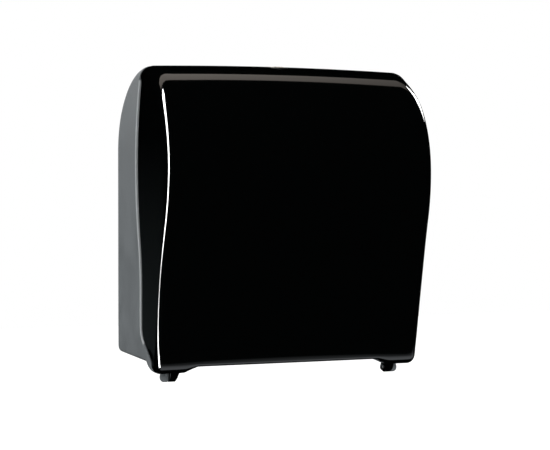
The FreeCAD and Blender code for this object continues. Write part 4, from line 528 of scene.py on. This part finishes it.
def makeEars():
    # the cover's two ears: an arm that runs forward into the foot, round its pin
    shape = bmesh.new()
    outline = circleOutline(*hinge["axis"], hinge["boss"], *hinge["earArc"]) + hinge["earFront"]
    for side in (-1, 1):
        addPrism(shape, outline, side * hinge["earInner"], side * hinge["earOuter"])
    for point in shape.verts:
        # the inner side leans outwards towards its lower end
        if abs(point.co.x) < (hinge["earInner"] + 1) * mm:
            drop = at(0, 0, hinge["earTop"]).z - point.co.z
            point.co.x += math.copysign(drop * hinge["earLean"], point.co.x)
    finishPiece(shape, "cover_ears", coverBlack, "cover", round=0.8)


def makeLugs():
    # the housing's two lugs: a web under each foot and a boss with a rounded end, round the same pin
    shape = bmesh.new()
    boss, inner, outer = hinge["boss"], hinge["lugInner"], hinge["lugOuter"]
    soft, edge = hinge["lugRound"], hinge["lugEdge"]
    web = circleOutline(*hinge["axis"], boss - hinge["webInset"], *hinge["webArc"]) + hinge["lugTop"]
    profile = [(0, inner), (boss - edge, inner), (boss, inner + edge)]
    profile += circleOutline(boss - soft, outer - soft, soft, *hinge["lugArc"]) + [(0, outer)]
    for side in (-1, 1):
        addPrism(shape, web, side * inner, side * (outer - soft))
        addTurned(shape, [(radius, side * along) for radius, along in profile], hinge["axis"])
    finishPiece(shape, "housing_lugs", housingGrey, "housing", round=0.6)


def makeHingePins():
    # short pins with domed heads, let into the ears
    shape = bmesh.new()
    profile = [(radius, hinge["earInner"] + along) for radius, along in hinge["pinHead"]]
    profile += [(radius, hinge["lugOuter"] + along) for radius, along in hinge["pinTail"]]
    for side in (-1, 1):
        addTurned(shape, [(radius, side * along) for radius, along in profile], hinge["axis"], steps=24)
    finishPiece(shape, "hinge_pin_heads", zincSteel, "housing", ["hinge_pins"])


makeEars()
makeLugs()
makeHingePins()

coverMesh = {
    "zones": [("top", 1), ("crown", 10), ("shoulder", 3), ("front", 22), ("belly", 12), ("waist", 36),
              ("toe", 6), ("sole", 8), ("under", 6)],
    "topRows": 14, "cornerSteps": 8, "acrossSteps": 44, "edge": 0.35,
    "outline": frontPoint, "rounding": lambda spot: between(cornerRounding, spot[1]),
    "bow": lambda spot: between(frontBow, spot[1]), "bowToEnds": True, "seamSide": 1,
    # the sides run a little inwards to the seam, inside the housing's line, by the share of its height
    "tuck": [(0, 0), (0.02, 0.7), (0.98, 0.7), (1, 0)],
    "lock": (0, 124), "lockSeat": [(0, 353), (13, 353), (13, 356), (14.2, 358.2), (0, 358.2)],
    "lockBore": [(0, 350), (8.1, 350), (8.1, 358), (9.8, 358), (9.8, 362), (0, 362)],
    "switchRib": ((116, 122), (158.3, 178.6), (70, 78)),
    # where the inner faces look to, and how deep the sides count as outside
    "coreMiddle": (60, 180), "sideBand": 1.6,
}


def addSkin(shape, mesh, inset):
    # one skin from side to side, inset from the outside by the wall or by nothing;
    # its borders on the left and the right side are given back
    rows = zoneRows(mesh["zones"])
    steps, span, last = mesh["cornerSteps"], mesh["acrossSteps"], len(rows) - 1
    halfWide, least = bodyShape["halfWide"], bodyShape["leastRound"]

    def place(i, j):
        spot, facing = mesh["outline"](*rows[j], 0)
        edge = halfWide - inset - max(mesh["rounding"](spot) - inset, least)
        across = edge * min(max((i - steps) / span * 2 - 1, -1), 1)
        spot, facing = mesh["outline"](*rows[j], recessLift(across))
        # spread 0 is the front's or the back's tangent, 1 the side's
        spread = max(steps - i, i - steps - span, 0) / steps
        reach = halfWide if spread and mesh["bowToEnds"] else abs(across)
        sink = inset + mesh["bow"](spot) * (reach / halfWide) ** 2
        if spread:
            inner = max(mesh["rounding"](spot) - inset, least)
            turn = math.radians(90 * spread)
            sink += inner * (1 - math.cos(turn))
            across = math.copysign(halfWide - inset - inner + inner * math.sin(turn), across)
        depth = spot[0] - facing[0] * sink
        height = spot[1] - facing[1] * sink
        if inset and rows[j][0] in ("heel", "floor"):
            height = max(height, mesh["floorTop"])
        if j in (0, last):
            depth = seamDepth(height) + mesh["seamSide"] * bodyShape["seamGap"] / 2
        return at(across, depth, height)

    mappedGrid(shape, 2 * steps + span, last, place)
    return [[place(i, j) for j in range(last + 1)] for i in (0, 2 * steps + span)]


def coverSkin(shape, inset):
    topRows, gap = coverMesh["topRows"], bodyShape["seamGap"] / 2
    for side, border in zip((-1, 1), addSkin(shape, coverMesh, inset)):
        last = len(border) - 1
        down = last - 2 * topRows
        top, front = border[:topRows + 1], border[topRows:last - topRows + 1]
        under = border[last - topRows:][::-1]
        high, low = top[0].z / mm + feetDrop, under[0].z / mm + feetDrop
        seam = []
        for row in range(down + 1):
            share = (front[0].z - front[row].z) / (front[0].z - front[-1].z)
            height = mix(high, low, share)
            tuck = between(coverMesh["tuck"], share)
            seam.append(at(side * (bodyShape["halfWide"] - inset - tuck), seamDepth(height) + gap, height))
        seam[0], seam[-1] = top[0], under[0]

        def sideGrid(i, j):
            u, v = i / topRows, j / down
            return (seam[j] * (1 - u) + front[j] * u + top[i] * (1 - v) + under[i] * v
                    - seam[0] * (1 - u) * (1 - v) - front[0] * u * (1 - v)
                    - seam[-1] * (1 - u) * v - front[-1] * u * v)

        mappedGrid(shape, topRows, down, sideGrid)


def joinSkins(shape):
    # outer and inner skin joined along the seam, whose edges are given back
    bmesh.ops.remove_doubles(shape, verts=shape.verts, dist=joinGap)
    rim = [edge for edge in shape.edges if edge.is_boundary]
    bmesh.ops.bridge_loops(shape, edges=rim)
    faceOut(shape)
    return rim


def makeCover():
    shape = bmesh.new()
    coverSkin(shape, 0)
    coverSkin(shape, bodyShape["wall"])
    joinSkins(shape)
    piece = finishPiece(shape, "cover_shell", coverBlack, "cover", ["front_cover"],
                        smooth=50, round=coverMesh["edge"])
    joined, cuts = bmesh.new(), bmesh.new()
    addTurned(joined, coverMesh["lockSeat"], coverMesh["lock"], "z", 40)
    addBox(joined, *coverMesh["switchRib"], 0.6)
    combine(piece, "UNION", joined, 50)
    addTurned(cuts, coverMesh["lockBore"], coverMesh["lock"], "z", 48)
    combine(piece, "DIFFERENCE", cuts, 50)
    # the inside comes from the tool's core side, which isn't polished
    piece.data.materials.append(coreBlack)
    skin = bmesh.new()
    skin.from_mesh(piece.data)
    centre = at(0, *coverMesh["coreMiddle"])
    for face in skin.faces:
        away = face.calc_center_median() - centre
        turnedIn = face.normal.y * away.y + face.normal.z * away.z < 0
        if turnedIn and abs(away.x) <= (bodyShape["halfWide"] - coverMesh["sideBand"]) * mm:
            face.material_index = 1
    skin.to_mesh(piece.data)
    skin.free()


makeCover()
print("cover made")


def backPoint(zone, share, lift):
    # a point of the housing's outline and the direction it faces
    heel, base, lip = bodyShape["heelRadius"], bodyShape["baseHeight"], bodyShape["lipRadius"]
    lipStart = math.degrees(math.asin((lip - base) / lip)) + 180
    arcs = {**backArcs, "heel": ((heel, base + heel), heel, 180, 270),
            "lip": ((bodyShape["lipMiddle"], lip), lip, lipStart, 270)}
    turn = 270
    if zone in arcs:
        spot, turn = alongArc(*arcs[zone], share)
    elif zone == "wall":
        turn = 180
        spot = (0, mix(backArcs["back"][0][1], bodyShape["wallLow"], share))
    elif zone == "floor":
        spot = (mix(heel, bodyShape["lipRear"], share), base)
    else:
        spot = (mix(bodyShape["lipMiddle"], seamDepth(0) - bodyShape["seamGap"] / 2, share), 0)
    if spot[1] < lift:
        turn, spot = 270, (spot[0], lift)
    return spot, arcPoint((0, 0), 1, turn)


# rounding between the back and the sides: over this height by depth, and under it by height
housingRounding = {"from": 255, "over": [(0, 5), (20, 6), (60, 9), (114, 12)],
                   "under": [(0, 8.5), (12, 5), (20, 4), (255, 5)]}
topBow = [(0, 0), (40, 1.5), (111, 3)]  # drop of the top at its ends, by depth


def housingCorner(spot):
    # rounding at a (depth, height) of the outline
    if spot[1] > housingRounding["from"]:
        return between(housingRounding["over"], spot[0])
    return between(housingRounding["under"], spot[1])


housingMesh = {
    "zones": [("top", 16), ("back", 16), ("wall", 20), ("heel", 8), ("floor", 8), ("lip", 8), ("under", 2)],
    "outline": backPoint, "rounding": housingCorner, "bowToEnds": False, "seamSide": -1,
    "bow": lambda spot: between(topBow, spot[0]) if spot[1] > backArcs["back"][0][1] else 0,
    "seamSteps": 72, "cornerSteps": 6, "acrossSteps": 44, "edge": 0.4, "floorTop": 15,
    "seamRound": 2.2, "roundFrom": 28, "roundTo": 342, "flankBand": 0.1,
}


def housingSkin(shape, inset):
    gap, steps = bodyShape["seamGap"] / 2, housingMesh["seamSteps"]
    for side, border in zip((-1, 1), addSkin(shape, housingMesh, inset)):
        high, low = border[0].z / mm + feetDrop, border[-1].z / mm + feetDrop
        loop = list(border)
        for step in range(steps - 1, 0, -1):
            height = mix(high, low, step / steps)
            loop.append(at(side * (bodyShape["halfWide"] - inset), seamDepth(height) - gap, height))
        shape.faces.new([shape.verts.new(spot) for spot in loop])


housingFittings = {
    "slotOut": 90, "slotHeights": (130, 270), "slotSize": (12, 6), "slotCut": (-2, 8),
    # the paper's exit and the sensor's window: half width, depths
    "openings": ((104.5, (112.5, 131)), (13.5, (139, 147))), "floorCut": (-4, 20),
    "bosses": [(-101, 214), (-101, 272), (101, 214), (101, 272), (-138, 85), (-138, 226.2), (138, 108),
               (138, 205), (-98, 29), (98, 29), (-98, 103), (98, 103)],
    "boss": [(1.8, 2.5), (5.8, 2.5), (5.8, 3.2), (5, 4), (5, 5.8), (4.8, 6), (1.8, 6)],
    "keeperBlock": ((-5, 5), (88, 103), (352, 356)),
    # the rim inside the cover, and its foot against the housing's wall: across, and reach past the seam
    "rim": ((159.1, 160.5, 5), (160.3, 162.4, -0.4)), "rimHeights": (60, 320), "rimRoot": 8, "rimSteps": 40,
}


def makeHousing():
    shape = bmesh.new()
    housingSkin(shape, 0)
    housingSkin(shape, bodyShape["wall"])
    rim = joinSkins(shape)
    # the outer edge at the seam is rounded along the sides, and its rounded faces take the lighter grey: a
    # painted highlight line
    low, high = at(0, 0, housingMesh["roundFrom"]).z, at(0, 0, housingMesh["roundTo"]).z
    flank = (bodyShape["halfWide"] - housingMesh["flankBand"]) * mm
    outside = [edge for edge in rim if all(abs(v.co.x) > flank and low < v.co.z < high for v in edge.verts)]
    rounded = bmesh.ops.bevel(shape, geom=outside, offset=housingMesh["seamRound"] * mm,
                              offset_type="OFFSET", affect="EDGES", segments=3, profile=0.5, material=-1)
    for face in rounded["faces"]:
        face.material_index = 1
    piece = finishPiece(shape, "housing_shell", housingGrey, "housing", ["rear_housing"],
                        smooth=50, round=housingMesh["edge"])
    # the second finish: the lighter grey painted on the rounded seam edge as its highlight
    piece.data.materials.append(seamHighlightGrey)

    cuts, joined = bmesh.new(), bmesh.new()
    for across in (-housingFittings["slotOut"], housingFittings["slotOut"]):
        for height in housingFittings["slotHeights"]:
            slot = slotOutline(across, height, *housingFittings["slotSize"])
            addPrism(cuts, slot, *housingFittings["slotCut"], "y")
    for half, depths in housingFittings["openings"]:
        addBox(cuts, (-half, half), depths, housingFittings["floorCut"])
    combine(piece, "DIFFERENCE", cuts, 50)

    for place in housingFittings["bosses"]:
        addTurned(joined, housingFittings["boss"], place, "y", 24)
    addBox(joined, *housingFittings["keeperBlock"])
    (low, high), steps = housingFittings["rimHeights"], housingFittings["rimSteps"]
    heights = [mix(low, high, i / steps) for i in range(steps + 1)]
    for side in (-1, 1):
        for inner, outer, past in housingFittings["rim"]:
            outline = [(seamDepth(height) - housingFittings["rimRoot"], height) for height in heights]
            outline += [(seamDepth(height) + past, height) for height in reversed(heights)]
            addPrism(joined, outline, side * inner, side * outer)
    attach(piece, joined, 50)
    # large faces keep their own direction, so they shade flat up to their rounded edges
    piece.modifiers.new("flat faces", "WEIGHTED_NORMAL").keep_sharp = True


makeHousing()
print("housing made")


# Screws

screwShape = {
    "panel": {"head": 3.6, "headTall": 2.2, "thread": 1.75, "long": 7.4, "recess": 4.2, "turn": 0.7},
    "small": {"head": 2.5, "headTall": 1.6, "thread": 1.25, "long": 3.4, "recess": 2.7, "turn": 0.9},
}
# the thread's end: its share of the radius and its length; the head's dome in shares of the head's
# radius and height; the cross recess: width of its arms, and height in shares of the head's
screwEnds = {"tip": (0.6, 1), "dome": [(1, 0), (1, 0.45), (0.86, 0.8), (0.6, 1), (0, 1)],
             "cross": (0.8, 1.6)}
# place of each screw's seat, and the way that it faces
screwSeats = {
    "panel": [((across, 9, height), "front") for across, height in housingFittings["bosses"]]
             + [((side * 105.5, 159, height), "front") for side in (-1, 1) for height in (29, 89)],
    "small": [((across, 129, 19.2), "front") for across in (-70, 0, 70)]
             + [((114, 58, height), "right") for height in (71.5, 96.5)]
             + [((115.5, *spot), "right") for spot in ((45.3, 56.2), (45.3, 100), (129.7, 48.2))]
             + [((0, 92.5, 350), "down")],
}
faceTurns = {
    "front": Matrix.Rotation(math.radians(90), 4, "X"), "right": Matrix.Rotation(math.radians(90), 4, "Y"),
    "down": Matrix.Rotation(math.radians(180), 4, "X"),
}


def screwMesh(kind):
    # one screw at the origin, its head upwards: a domed head with a cross recess
    sizes = screwShape[kind]
    head, tall, thread, long = sizes["head"], sizes["headTall"], sizes["thread"], sizes["long"]
    shape = bmesh.new()
    (tip, tipLong), (arm, armTall) = screwEnds["tip"], screwEnds["cross"]
    profile = [(0, -long), (thread * tip, -long), (thread, tipLong - long), (thread, 0)]
    profile += [(head * out, tall * up) for out, up in screwEnds["dome"]]
    addTurned(shape, profile, (0, 0), "z", 20)
    bmesh.ops.translate(shape, verts=shape.verts, vec=-at(0, 0, 0))
    faceOut(shape)
    piece = addObject(shape, "screw")
    for wide, deep in ((sizes["recess"], arm), (arm, sizes["recess"])):
        cross = bmesh.new()
        size = Matrix.Diagonal((wide * mm, deep * mm, armTall * tall * mm, 1))
        bmesh.ops.create_cube(cross, size=1, matrix=Matrix.Translation((0, 0, tall * mm)) @ size)
        combine(piece, "DIFFERENCE", cross)
    mesh = piece.data
    bpy.data.objects.remove(piece)
    return mesh


def makeScrews(kind, name, node):
    mesh, turn = screwMesh(kind), screwShape[kind]["turn"]
    shape = bmesh.new()
    for i, (spot, facing) in enumerate(screwSeats[kind]):
        before = set(shape.verts)
        shape.from_mesh(mesh)
        fresh = [point for point in shape.verts if point not in before]
        # each cross stands at its own angle
        place = Matrix.Translation(at(*spot)) @ faceTurns[facing] @ Matrix.Rotation(turn * i, 4, "Z")
        bmesh.ops.transform(shape, verts=fresh, matrix=place)
    finishPiece(shape, name, zincSteel, "housing", [node])


makeScrews("panel", "cross_recess_screws", "panel_screws")
makeScrews("small", "small_cross_recess_screws", "small_screws")
print("screws made")


# Springs, wound from round wire

springShape = {
    "radius": 4.35,
    "arm": {"middle": (114, 15), "span": (249.8, 277), "wire": 1.7, "turns": 14},
    "pinch": {"middle": (140, 98), "span": (105.4, 110), "wire": 1.1, "turns": 3},
}


def makeSprings():
    shape = bmesh.new()
    radius, arm, pinch = springShape["radius"], springShape["arm"], springShape["pinch"]
    addCoil(shape, arm["middle"], "z", *arm["span"], radius, arm["wire"], arm["turns"])
    for side in (-1, 1):
        ends = sorted(side * end for end in pinch["span"])
        addCoil(shape, pinch["middle"], "x", *ends, radius, pinch["wire"], pinch["turns"])
    finishPiece(shape, "wound_return_springs", springSteel, "housing", ["return_springs"],
                smooth=60)


makeSprings()


def addDetail(name, finish, body, boxes=(), round=0.3, turned=()):
    # a piece of turned shapes, each (profile, middle, axis, steps), and boxes with rounded edges
    shape = bmesh.new()
    for profile, middle, axis, steps in turned:
        addTurned(shape, profile, middle, axis, steps)
    for box in boxes:
        addBox(shape, *box, round)
    finishPiece(shape, name, finish, body)


# Feed unit: rubber sleeves with fine ribs, and what finishes the panels

feedShape = {
    "axis": (103, 60), "count": 4, "pitch": 52, "outer": 16, "inner": 12, "half": 17, "edge": 0.6,
    "ribs": 72, "ribDeep": 0.5,
}


def makeSleeves():
    shape = bmesh.new()
    outer, inner, half, edge = (feedShape[key] for key in ("outer", "inner", "half", "edge"))
    for index in range(feedShape["count"]):
        middle = feedShape["pitch"] * (index - (feedShape["count"] - 1) / 2)
        profile = [(inner, middle - half), (outer - edge, middle - half), (outer, middle - half + edge),
                   (outer, middle + half - edge), (outer - edge, middle + half), (inner, middle + half)]
        addTurned(shape, profile, feedShape["axis"], "x", 2 * feedShape["ribs"])
    centre = at(0, *feedShape["axis"])
    for point in shape.verts:
        away = Vector((0, point.co.y - centre.y, point.co.z - centre.z))
        step = round(math.degrees(math.atan2(away.z, away.y)) * feedShape["ribs"] / 180)
        if away.length > (outer - edge - 0.1) * mm and step % 2:
            point.co -= away.normalized() * feedShape["ribDeep"] * mm
    finishPiece(shape, "ribbed_roller_sleeves", gripRubber, "feed_roller", ["roller_sleeves"],
                smooth=20)


makeSleeves()

# a raised border and two stiffening ribs on the front panel, and webs on the side plates
panelShape = {
    "border": [(across, (158.6, 160.4), (27, 91)) for across in ((-97, -94), (94, 97))],
    "ribs": [((-96, 96), (158.6, 160.2), tall) for tall in ((27, 30), (88, 91), (46, 48), (70, 72))],
    "leftWebs": [((-116, -113.6), (depth, depth + 2.4), (22, 106)) for depth in (24, 74, 122)],
    "rightWeb": [((113.6, 116), (24, 26.4), (22, 106))],
}
addDetail("panel_ribs", frameGrey, "housing", sum(panelShape.values(), []), 0.5)

# the motor's nylon end cap with its two ribs, and its solder tabs
motorShape = {
    "cap": ([(0, 52.6), (6.5, 52.6), (7, 53), (7, 54), (12.6, 54), (13, 54.3), (13, 56), (0, 56)],
            (58, 84), "x", 36),
    "ribs": [((52.8, 55), (53.5, 62.5), (low, low + 2)) for low in (75.5, 90.5)],
    "tabs": [((48.6, 54.6), (57.2, 57.8), (low, low + 2.2)) for low in (79.3, 87.9)],
}
addDetail("motor_end_cap", innerBlack, "housing", motorShape["ribs"], 0.4,
          [motorShape["cap"]])
addDetail("motor_tabs", brassGold, "housing", motorShape["tabs"], 0.1)

# fins along each hub's nose, which hold the roll's core: outline as (across, height), at the roll's axis
hubShape = {"axis": (106, 243), "fins": 12, "depths": (105.2, 106.8),
            "fin": [(84, 258.4), (84.6, 260.4), (102.8, 262.6), (102.8, 260.6)]}


def makeHubGrips(side, name, body):
    shape = bmesh.new()
    outline = [(side * across, height) for across, height in hubShape["fin"]]
    for step in range(hubShape["fins"]):
        fin = addPrism(shape, outline, *hubShape["depths"], "y")
        bmesh.ops.rotate(shape, verts=fin, cent=at(0, *hubShape["axis"]),
                         matrix=Matrix.Rotation(math.radians(360 * step / hubShape["fins"]), 3, "X"))
    finishPiece(shape, name, innerBlack, body)


makeHubGrips(-1, "hub_fins_left", "left_hub")
makeHubGrips(1, "hub_fins_right", "right_hub")
print("feed unit and roll holder finished")


# Power: cells with steel ends in plain sleeves, ribs on the case and its lid

cellShape = {
    "across": -138, "depths": (21.8, 55.4), "starts": (94.6, 155.6), "tall": 60.8,
    # profiles as (radius, height from the cell's lower end)
    "jacket": [(14.2, 0.2), (16.1, 0.2), (16.6, 0.8), (16.6, 57.2), (16, 58), (13.6, 58), (13.6, 57),
               (14.2, 1.4)],
    "can": [(0, 0), (11, 0), (11.8, 0.7), (14.6, 0.7), (14.6, 57.4), (5.6, 57.6), (5, 58.2), (4.8, 60),
            (4.2, 60.8), (0, 60.8)],
}


def makeCells():
    jackets, cans = bmesh.new(), bmesh.new()
    for row, depth in enumerate(cellShape["depths"]):
        for start in cellShape["starts"]:
            for shape, key, steps in ((jackets, "jacket", 40), (cans, "can", 32)):
                # the two rows face opposite ways
                profile = [(radius, start + (rise if row else cellShape["tall"] - rise))
                           for radius, rise in cellShape[key]]
                addTurned(shape, profile, (cellShape["across"], depth), "z", steps)
    finishPiece(jackets, "cell_sleeves", cellSleeve, "housing", ["battery_cells"])
    finishPiece(cans, "cell_cans", zincSteel, "housing")


makeCells()

# ribs along the battery case, and the lid's grip with a rib on both sides
caseShape = {
    "ribs": [((-118.4, -117), (12, 66), (low, low + 2)) for low in range(108, 216, 12)],
    "grip": [((-134, -121), (74.6, 76), (147.5 + rise, 149.1 + rise))
             for rise in (0, 3.4, 6.8, 10.2, 13.6)],
    "lidSides": [(across, (74.6, 75.8), (96, 215)) for across in ((-151.6, -150), (-120.6, -119))],
}
addDetail("case_ribs", innerBlack, "housing", caseShape["ribs"], 0.4)
addDetail("lid_grip_ribs", innerBlack, "lid", caseShape["grip"] + caseShape["lidSides"],
          0.35)
print("power finished")


# Controls: bezels on the panel, grip ribs on the sliders, a dished button

controlShape = {
    "sliders": (("length_control", 156.5), ("pause_control", 125)),
    # each slider's bezel and grip ribs
    "bezel": {"across": (129, 147), "sides": (128.6, 146.4), "depths": (78.6, 80), "half": 6.4},
    "grip": {"lefts": (133, 134.8, 136.6), "wide": 0.9, "depths": (81.4, 82.3), "half": 3.6},
    # profiles as (radius, depth), the middle as (across, height)
    "bezels": [([(8.4, 78.6), (10.6, 78.6), (10.6, 79.6), (10, 80.2), (8.8, 80.2), (8.4, 79.8)],
                (138, 188), "y", 40),
               ([(2.8, 78.6), (4.4, 78.6), (4.4, 79.4), (4, 79.9), (3.1, 79.9), (2.8, 79.6)],
                (150, 188), "y", 28)],
    "dish": ([(0, 82.1), (1.2, 82.2), (4.4, 82.3), (6.4, 82.6), (7, 82.5), (7.3, 81.8), (0, 81.8)],
             (138, 188), "y", 36),
}


def makeControls():
    bezel, grip, boxes = controlShape["bezel"], controlShape["grip"], []
    for body, height in controlShape["sliders"]:
        low, high = height - bezel["half"], height + bezel["half"]
        boxes += [(bezel["across"], bezel["depths"], (foot, foot + 1)) for foot in (low, high - 1)]
        boxes += [((left, left + 1), bezel["depths"], (low, high)) for left in bezel["sides"]]
    addDetail("panel_bezels", frameGrey, "housing", boxes, turned=controlShape["bezels"])
    for body, height in controlShape["sliders"]:
        heights = (height - grip["half"], height + grip["half"])
        ribs = [((left, left + grip["wide"]), grip["depths"], heights) for left in grip["lefts"]]
        addDetail(body + "_ribs", keyBlue, body, ribs)
    addDetail("button_dish", keyBlue, "button", turned=[controlShape["dish"]])


makeControls()
print("controls finished")


# Studio: a pale floor, soft lamps, and panels that only reflections see

studio = {
    "floorDrop": 250, "floorHalf": 3200, "floorGlow": 0.66, "floorPaint": "#f4f4f3", "ambient": 0.45,
    "floorCloud": 3.0, "floorRough": (0.6, 0.8), "clothOver": 4, "clothHalf": 3400, "footOver": 8,
    "steps": 12, "stripSteps": 4,
}


def lightOnly(name, colour, strength, fade=None):
    # fade is an axis with the place where the panel is dark and the one where it is full
    material, tree = startMaterial(name)
    if fade:
        place = addNode(tree, "TexCoord").outputs["Object"]
        apart = addNode(tree, "SeparateXYZ", {"Vector": place})
        ramp = addNode(tree, "MapRange", {
            "Value": apart.outputs[fade[0].upper()], "From Min": fade[1], "From Max": fade[2],
            "To Min": 0.0, "To Max": strength})
        strength = ramp.outputs["Result"]
    glow = addNode(tree, "Emission", {"Color": linear(colour), "Strength": strength})
    addNode(tree, "OutputMaterial", {"Surface": glow.outputs["Emission"]})
    return material


def seenDirectly(tree):
    # 1 for the camera and for reflections and glass, 0 for the light that falls on things
    path = addNode(tree, "LightPath").outputs
    seen = path["Is Camera Ray"]
    for ray in ("Is Glossy Ray", "Is Transmission Ray"):
        seen = addNode(tree, "Math", {0: seen, 1: path[ray]}, operation="MAXIMUM").outputs["Value"]
    return seen


def makeWorld():
    world = bpy.data.worlds.new("studio")
    world.use_nodes = True
    tree = world.node_tree
    tree.nodes.clear()
    dim, white = [addNode(tree, "Background", {"Color": (1, 1, 1, 1), "Strength": strength})
                  for strength in (studio["ambient"], 1.0)]
    mixed = addNode(tree, "MixShader", {
        0: seenDirectly(tree), 1: dim.outputs["Background"], 2: white.outputs["Background"]})
    addNode(tree, "OutputWorld", {"Surface": mixed.outputs["Shader"]})
    bpy.context.scene.world = world


def makeFloor():
    material, tree = startMaterial("pale_painted_floor")
    place = addNode(tree, "TexCoord").outputs["Object"]
    cloud = addNode(tree, "TexNoise", {"Vector": place, "Scale": studio["floorCloud"], "Detail": 3.0})
    least, most = studio["floorRough"]
    rough = addNode(tree, "MapRange", {"Value": cloud.outputs["Fac"], "To Min": least, "To Max": most})
    paint = addNode(tree, "BsdfPrincipled", {
        "Base Color": linear(studio["floorPaint"]), "Roughness": rough.outputs["Result"],
        "Specular IOR Level": 0.1})
    lift = addNode(tree, "Math", {0: seenDirectly(tree), 1: studio["floorGlow"]},
                   operation="MULTIPLY")
    glow = addNode(tree, "Emission", {"Color": (1, 1, 1, 1), "Strength": lift.outputs["Value"]})
    both = addNode(tree, "AddShader", {0: paint.outputs["BSDF"], 1: glow.outputs["Emission"]})
    addNode(tree, "OutputMaterial", {"Surface": both.outputs["Shader"]})
    shape = bmesh.new()
    level = Matrix.Translation((0, 0, cadLow.z - studio["floorDrop"] * mm))
    bmesh.ops.create_grid(shape, x_segments=4, y_segments=4, size=studio["floorHalf"] * mm, matrix=level)
    addObject(shape, "floor", material)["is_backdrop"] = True


def litPanel(name, material, receivers, columns, rows, place):
    # a lit panel that only the reflections of some pieces see
    shape = bmesh.new()
    mappedGrid(shape, columns, rows, place)
    panel = addObject(shape, name, material)
    panel.visible_camera = False
    panel.visible_diffuse = False
    panel.visible_transmission = False
    panel.visible_shadow = False
    if receivers:
        linked = bpy.data.collections.new(name + "_receivers")
        for piece in receivers:
            linked.objects.link(piece)
        panel.light_linking.receiver_collection = linked
    panel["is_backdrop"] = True


def domePatch(name, material, receivers, aside, rise, distance, widen=(0, 0)):
    # part of a dome: aside in degrees from the front to the left, rise in degrees above level,
    # widen the degrees by which its two sides move left by the top
    def place(i, j):
        height = mix(*rise, j / studio["steps"])
        climb = (max(height, 0) / max(rise[1], 1)) ** 2
        near, far = aside[0] + widen[0] * climb, aside[1] + widen[1] * climb
        turn, lift = math.radians(mix(near, far, i / studio["steps"])), math.radians(height)
        out = math.cos(lift)
        return Vector((-math.sin(turn) * out, -math.cos(turn) * out, math.sin(lift))) * distance

    litPanel(name, material, receivers, studio["steps"], studio["steps"], place)


def floorPatch(name, material, receivers, aside, reach):
    # a sector just over the floor: the lower end of an upright panel, in metres from the object
    level = cadLow.z - studio["floorDrop"] * mm + studio["footOver"] * mm

    def place(i, j):
        turn = math.radians(mix(*aside, i / studio["steps"]))
        away = mix(*reach, j / studio["stripSteps"])
        return Vector((-math.sin(turn) * away, -math.cos(turn) * away, level))

    litPanel(name, material, receivers, studio["steps"], studio["stripSteps"], place)


def overheadPatch(name, material, receivers, back, across, distance):
    # a strip over the object from side to side, between two angles behind straight up
    def place(i, j):
        lean = math.radians(mix(*back, j / studio["stripSteps"]))
        aside = mix(*across, i / studio["steps"])
        return Vector((aside, math.sin(lean) * distance, math.cos(lean) * distance))

    litPanel(name, material, receivers, studio["steps"], studio["stripSteps"], place)


def levelPatch(name, material, receivers, across, depth, height):
    # a flat patch at a height above the feet
    litPanel(name, material, receivers, 1, 1, lambda i, j: at(across[i], depth[j], height))


def makePanels():
    gloss = [bpy.data.objects["cover_shell"]]
    others = [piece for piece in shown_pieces() if piece not in gloss]
    white = lightOnly("white_studio", "#ffffff", 1.0)
    domePatch("studio_dome", white, others, aside=(0, 360), rise=(-90, 90), distance=9.0)
    side = lightOnly("left_softbox", "#ffffff", 60.0)
    domePatch("left_softbox", side, gloss, aside=(24, 42), rise=(-8, 77), distance=3.0, widen=(22, 62))
    floorPatch("left_softbox_foot", side, gloss, aside=(24, 42), reach=(0.55, 3.1))
    right = lightOnly("right_softbox", "#ffffff", 30.0)
    domePatch("right_softbox", right, gloss, aside=(-118, -88), rise=(27, 47), distance=3.0)
    above = lightOnly("ceiling_softbox", "#fff4ea", 1.25, fade=("x", 2.7, 0.7))
    overheadPatch("ceiling_softbox", above, gloss, back=(9, 21.5), across=(-1.5, 4.0), distance=3.2)
    table = lightOnly("table_glow", "#f4faff", 1.2, fade=("y", -268 * mm, -200 * mm))
    levelPatch("table_glow", table, gloss, across=(-165, 260), depth=(180, 268), height=-20)
    low = lightOnly("low_left_glow", "#e8fbff", 0.03, fade=("z", 0.14, -0.35))
    domePatch("low_left_glow", low, gloss, aside=(120, 188), rise=(-12, 5), distance=2.0)
    # black, a little over the floor, so that the floor's own glow lights nothing
    dark = lightOnly("dark_floor_cloth", "#000000", 0.0)
    level = cadLow.z / mm + feetDrop - studio["floorDrop"] + studio["clothOver"]
    sides = (-studio["clothHalf"], studio["clothHalf"])
    levelPatch("dark_floor_cloth", dark, None, across=sides, depth=sides, height=level)


# each lamp's place and size in metres, and its power
lamps = {
    "key_lamp": {"place": (-1.6, -1.6, 1.5), "size": 1.4, "power": 18},
    "fill_lamp": {"place": (2.2, -1.2, 0.8), "size": 1.6, "power": 9},
    "rear_lamp": {"place": (-1.2, 2.2, 1.2), "size": 1.8, "power": 16},
    "top_lamp": {"place": (0.2, 0.1, 2.4), "size": 1.6, "power": 7},
}


def softLamp(name, place, size, power):
    data = bpy.data.lights.new(name, "AREA")
    data.energy = power
    data.shape = "SQUARE"
    data.size = size
    lamp = bpy.data.objects.new(name, data)
    lamp.location = place
    lamp.rotation_euler = (-Vector(place)).to_track_quat("-Z", "Y").to_euler()
    bpy.context.scene.collection.objects.link(lamp)
    lamp.visible_glossy = False
    lamp.visible_camera = False


makeWorld()
makeFloor()
makePanels()
for lampName, lampShape in lamps.items():
    softLamp(lampName, **lampShape)
print("studio made")
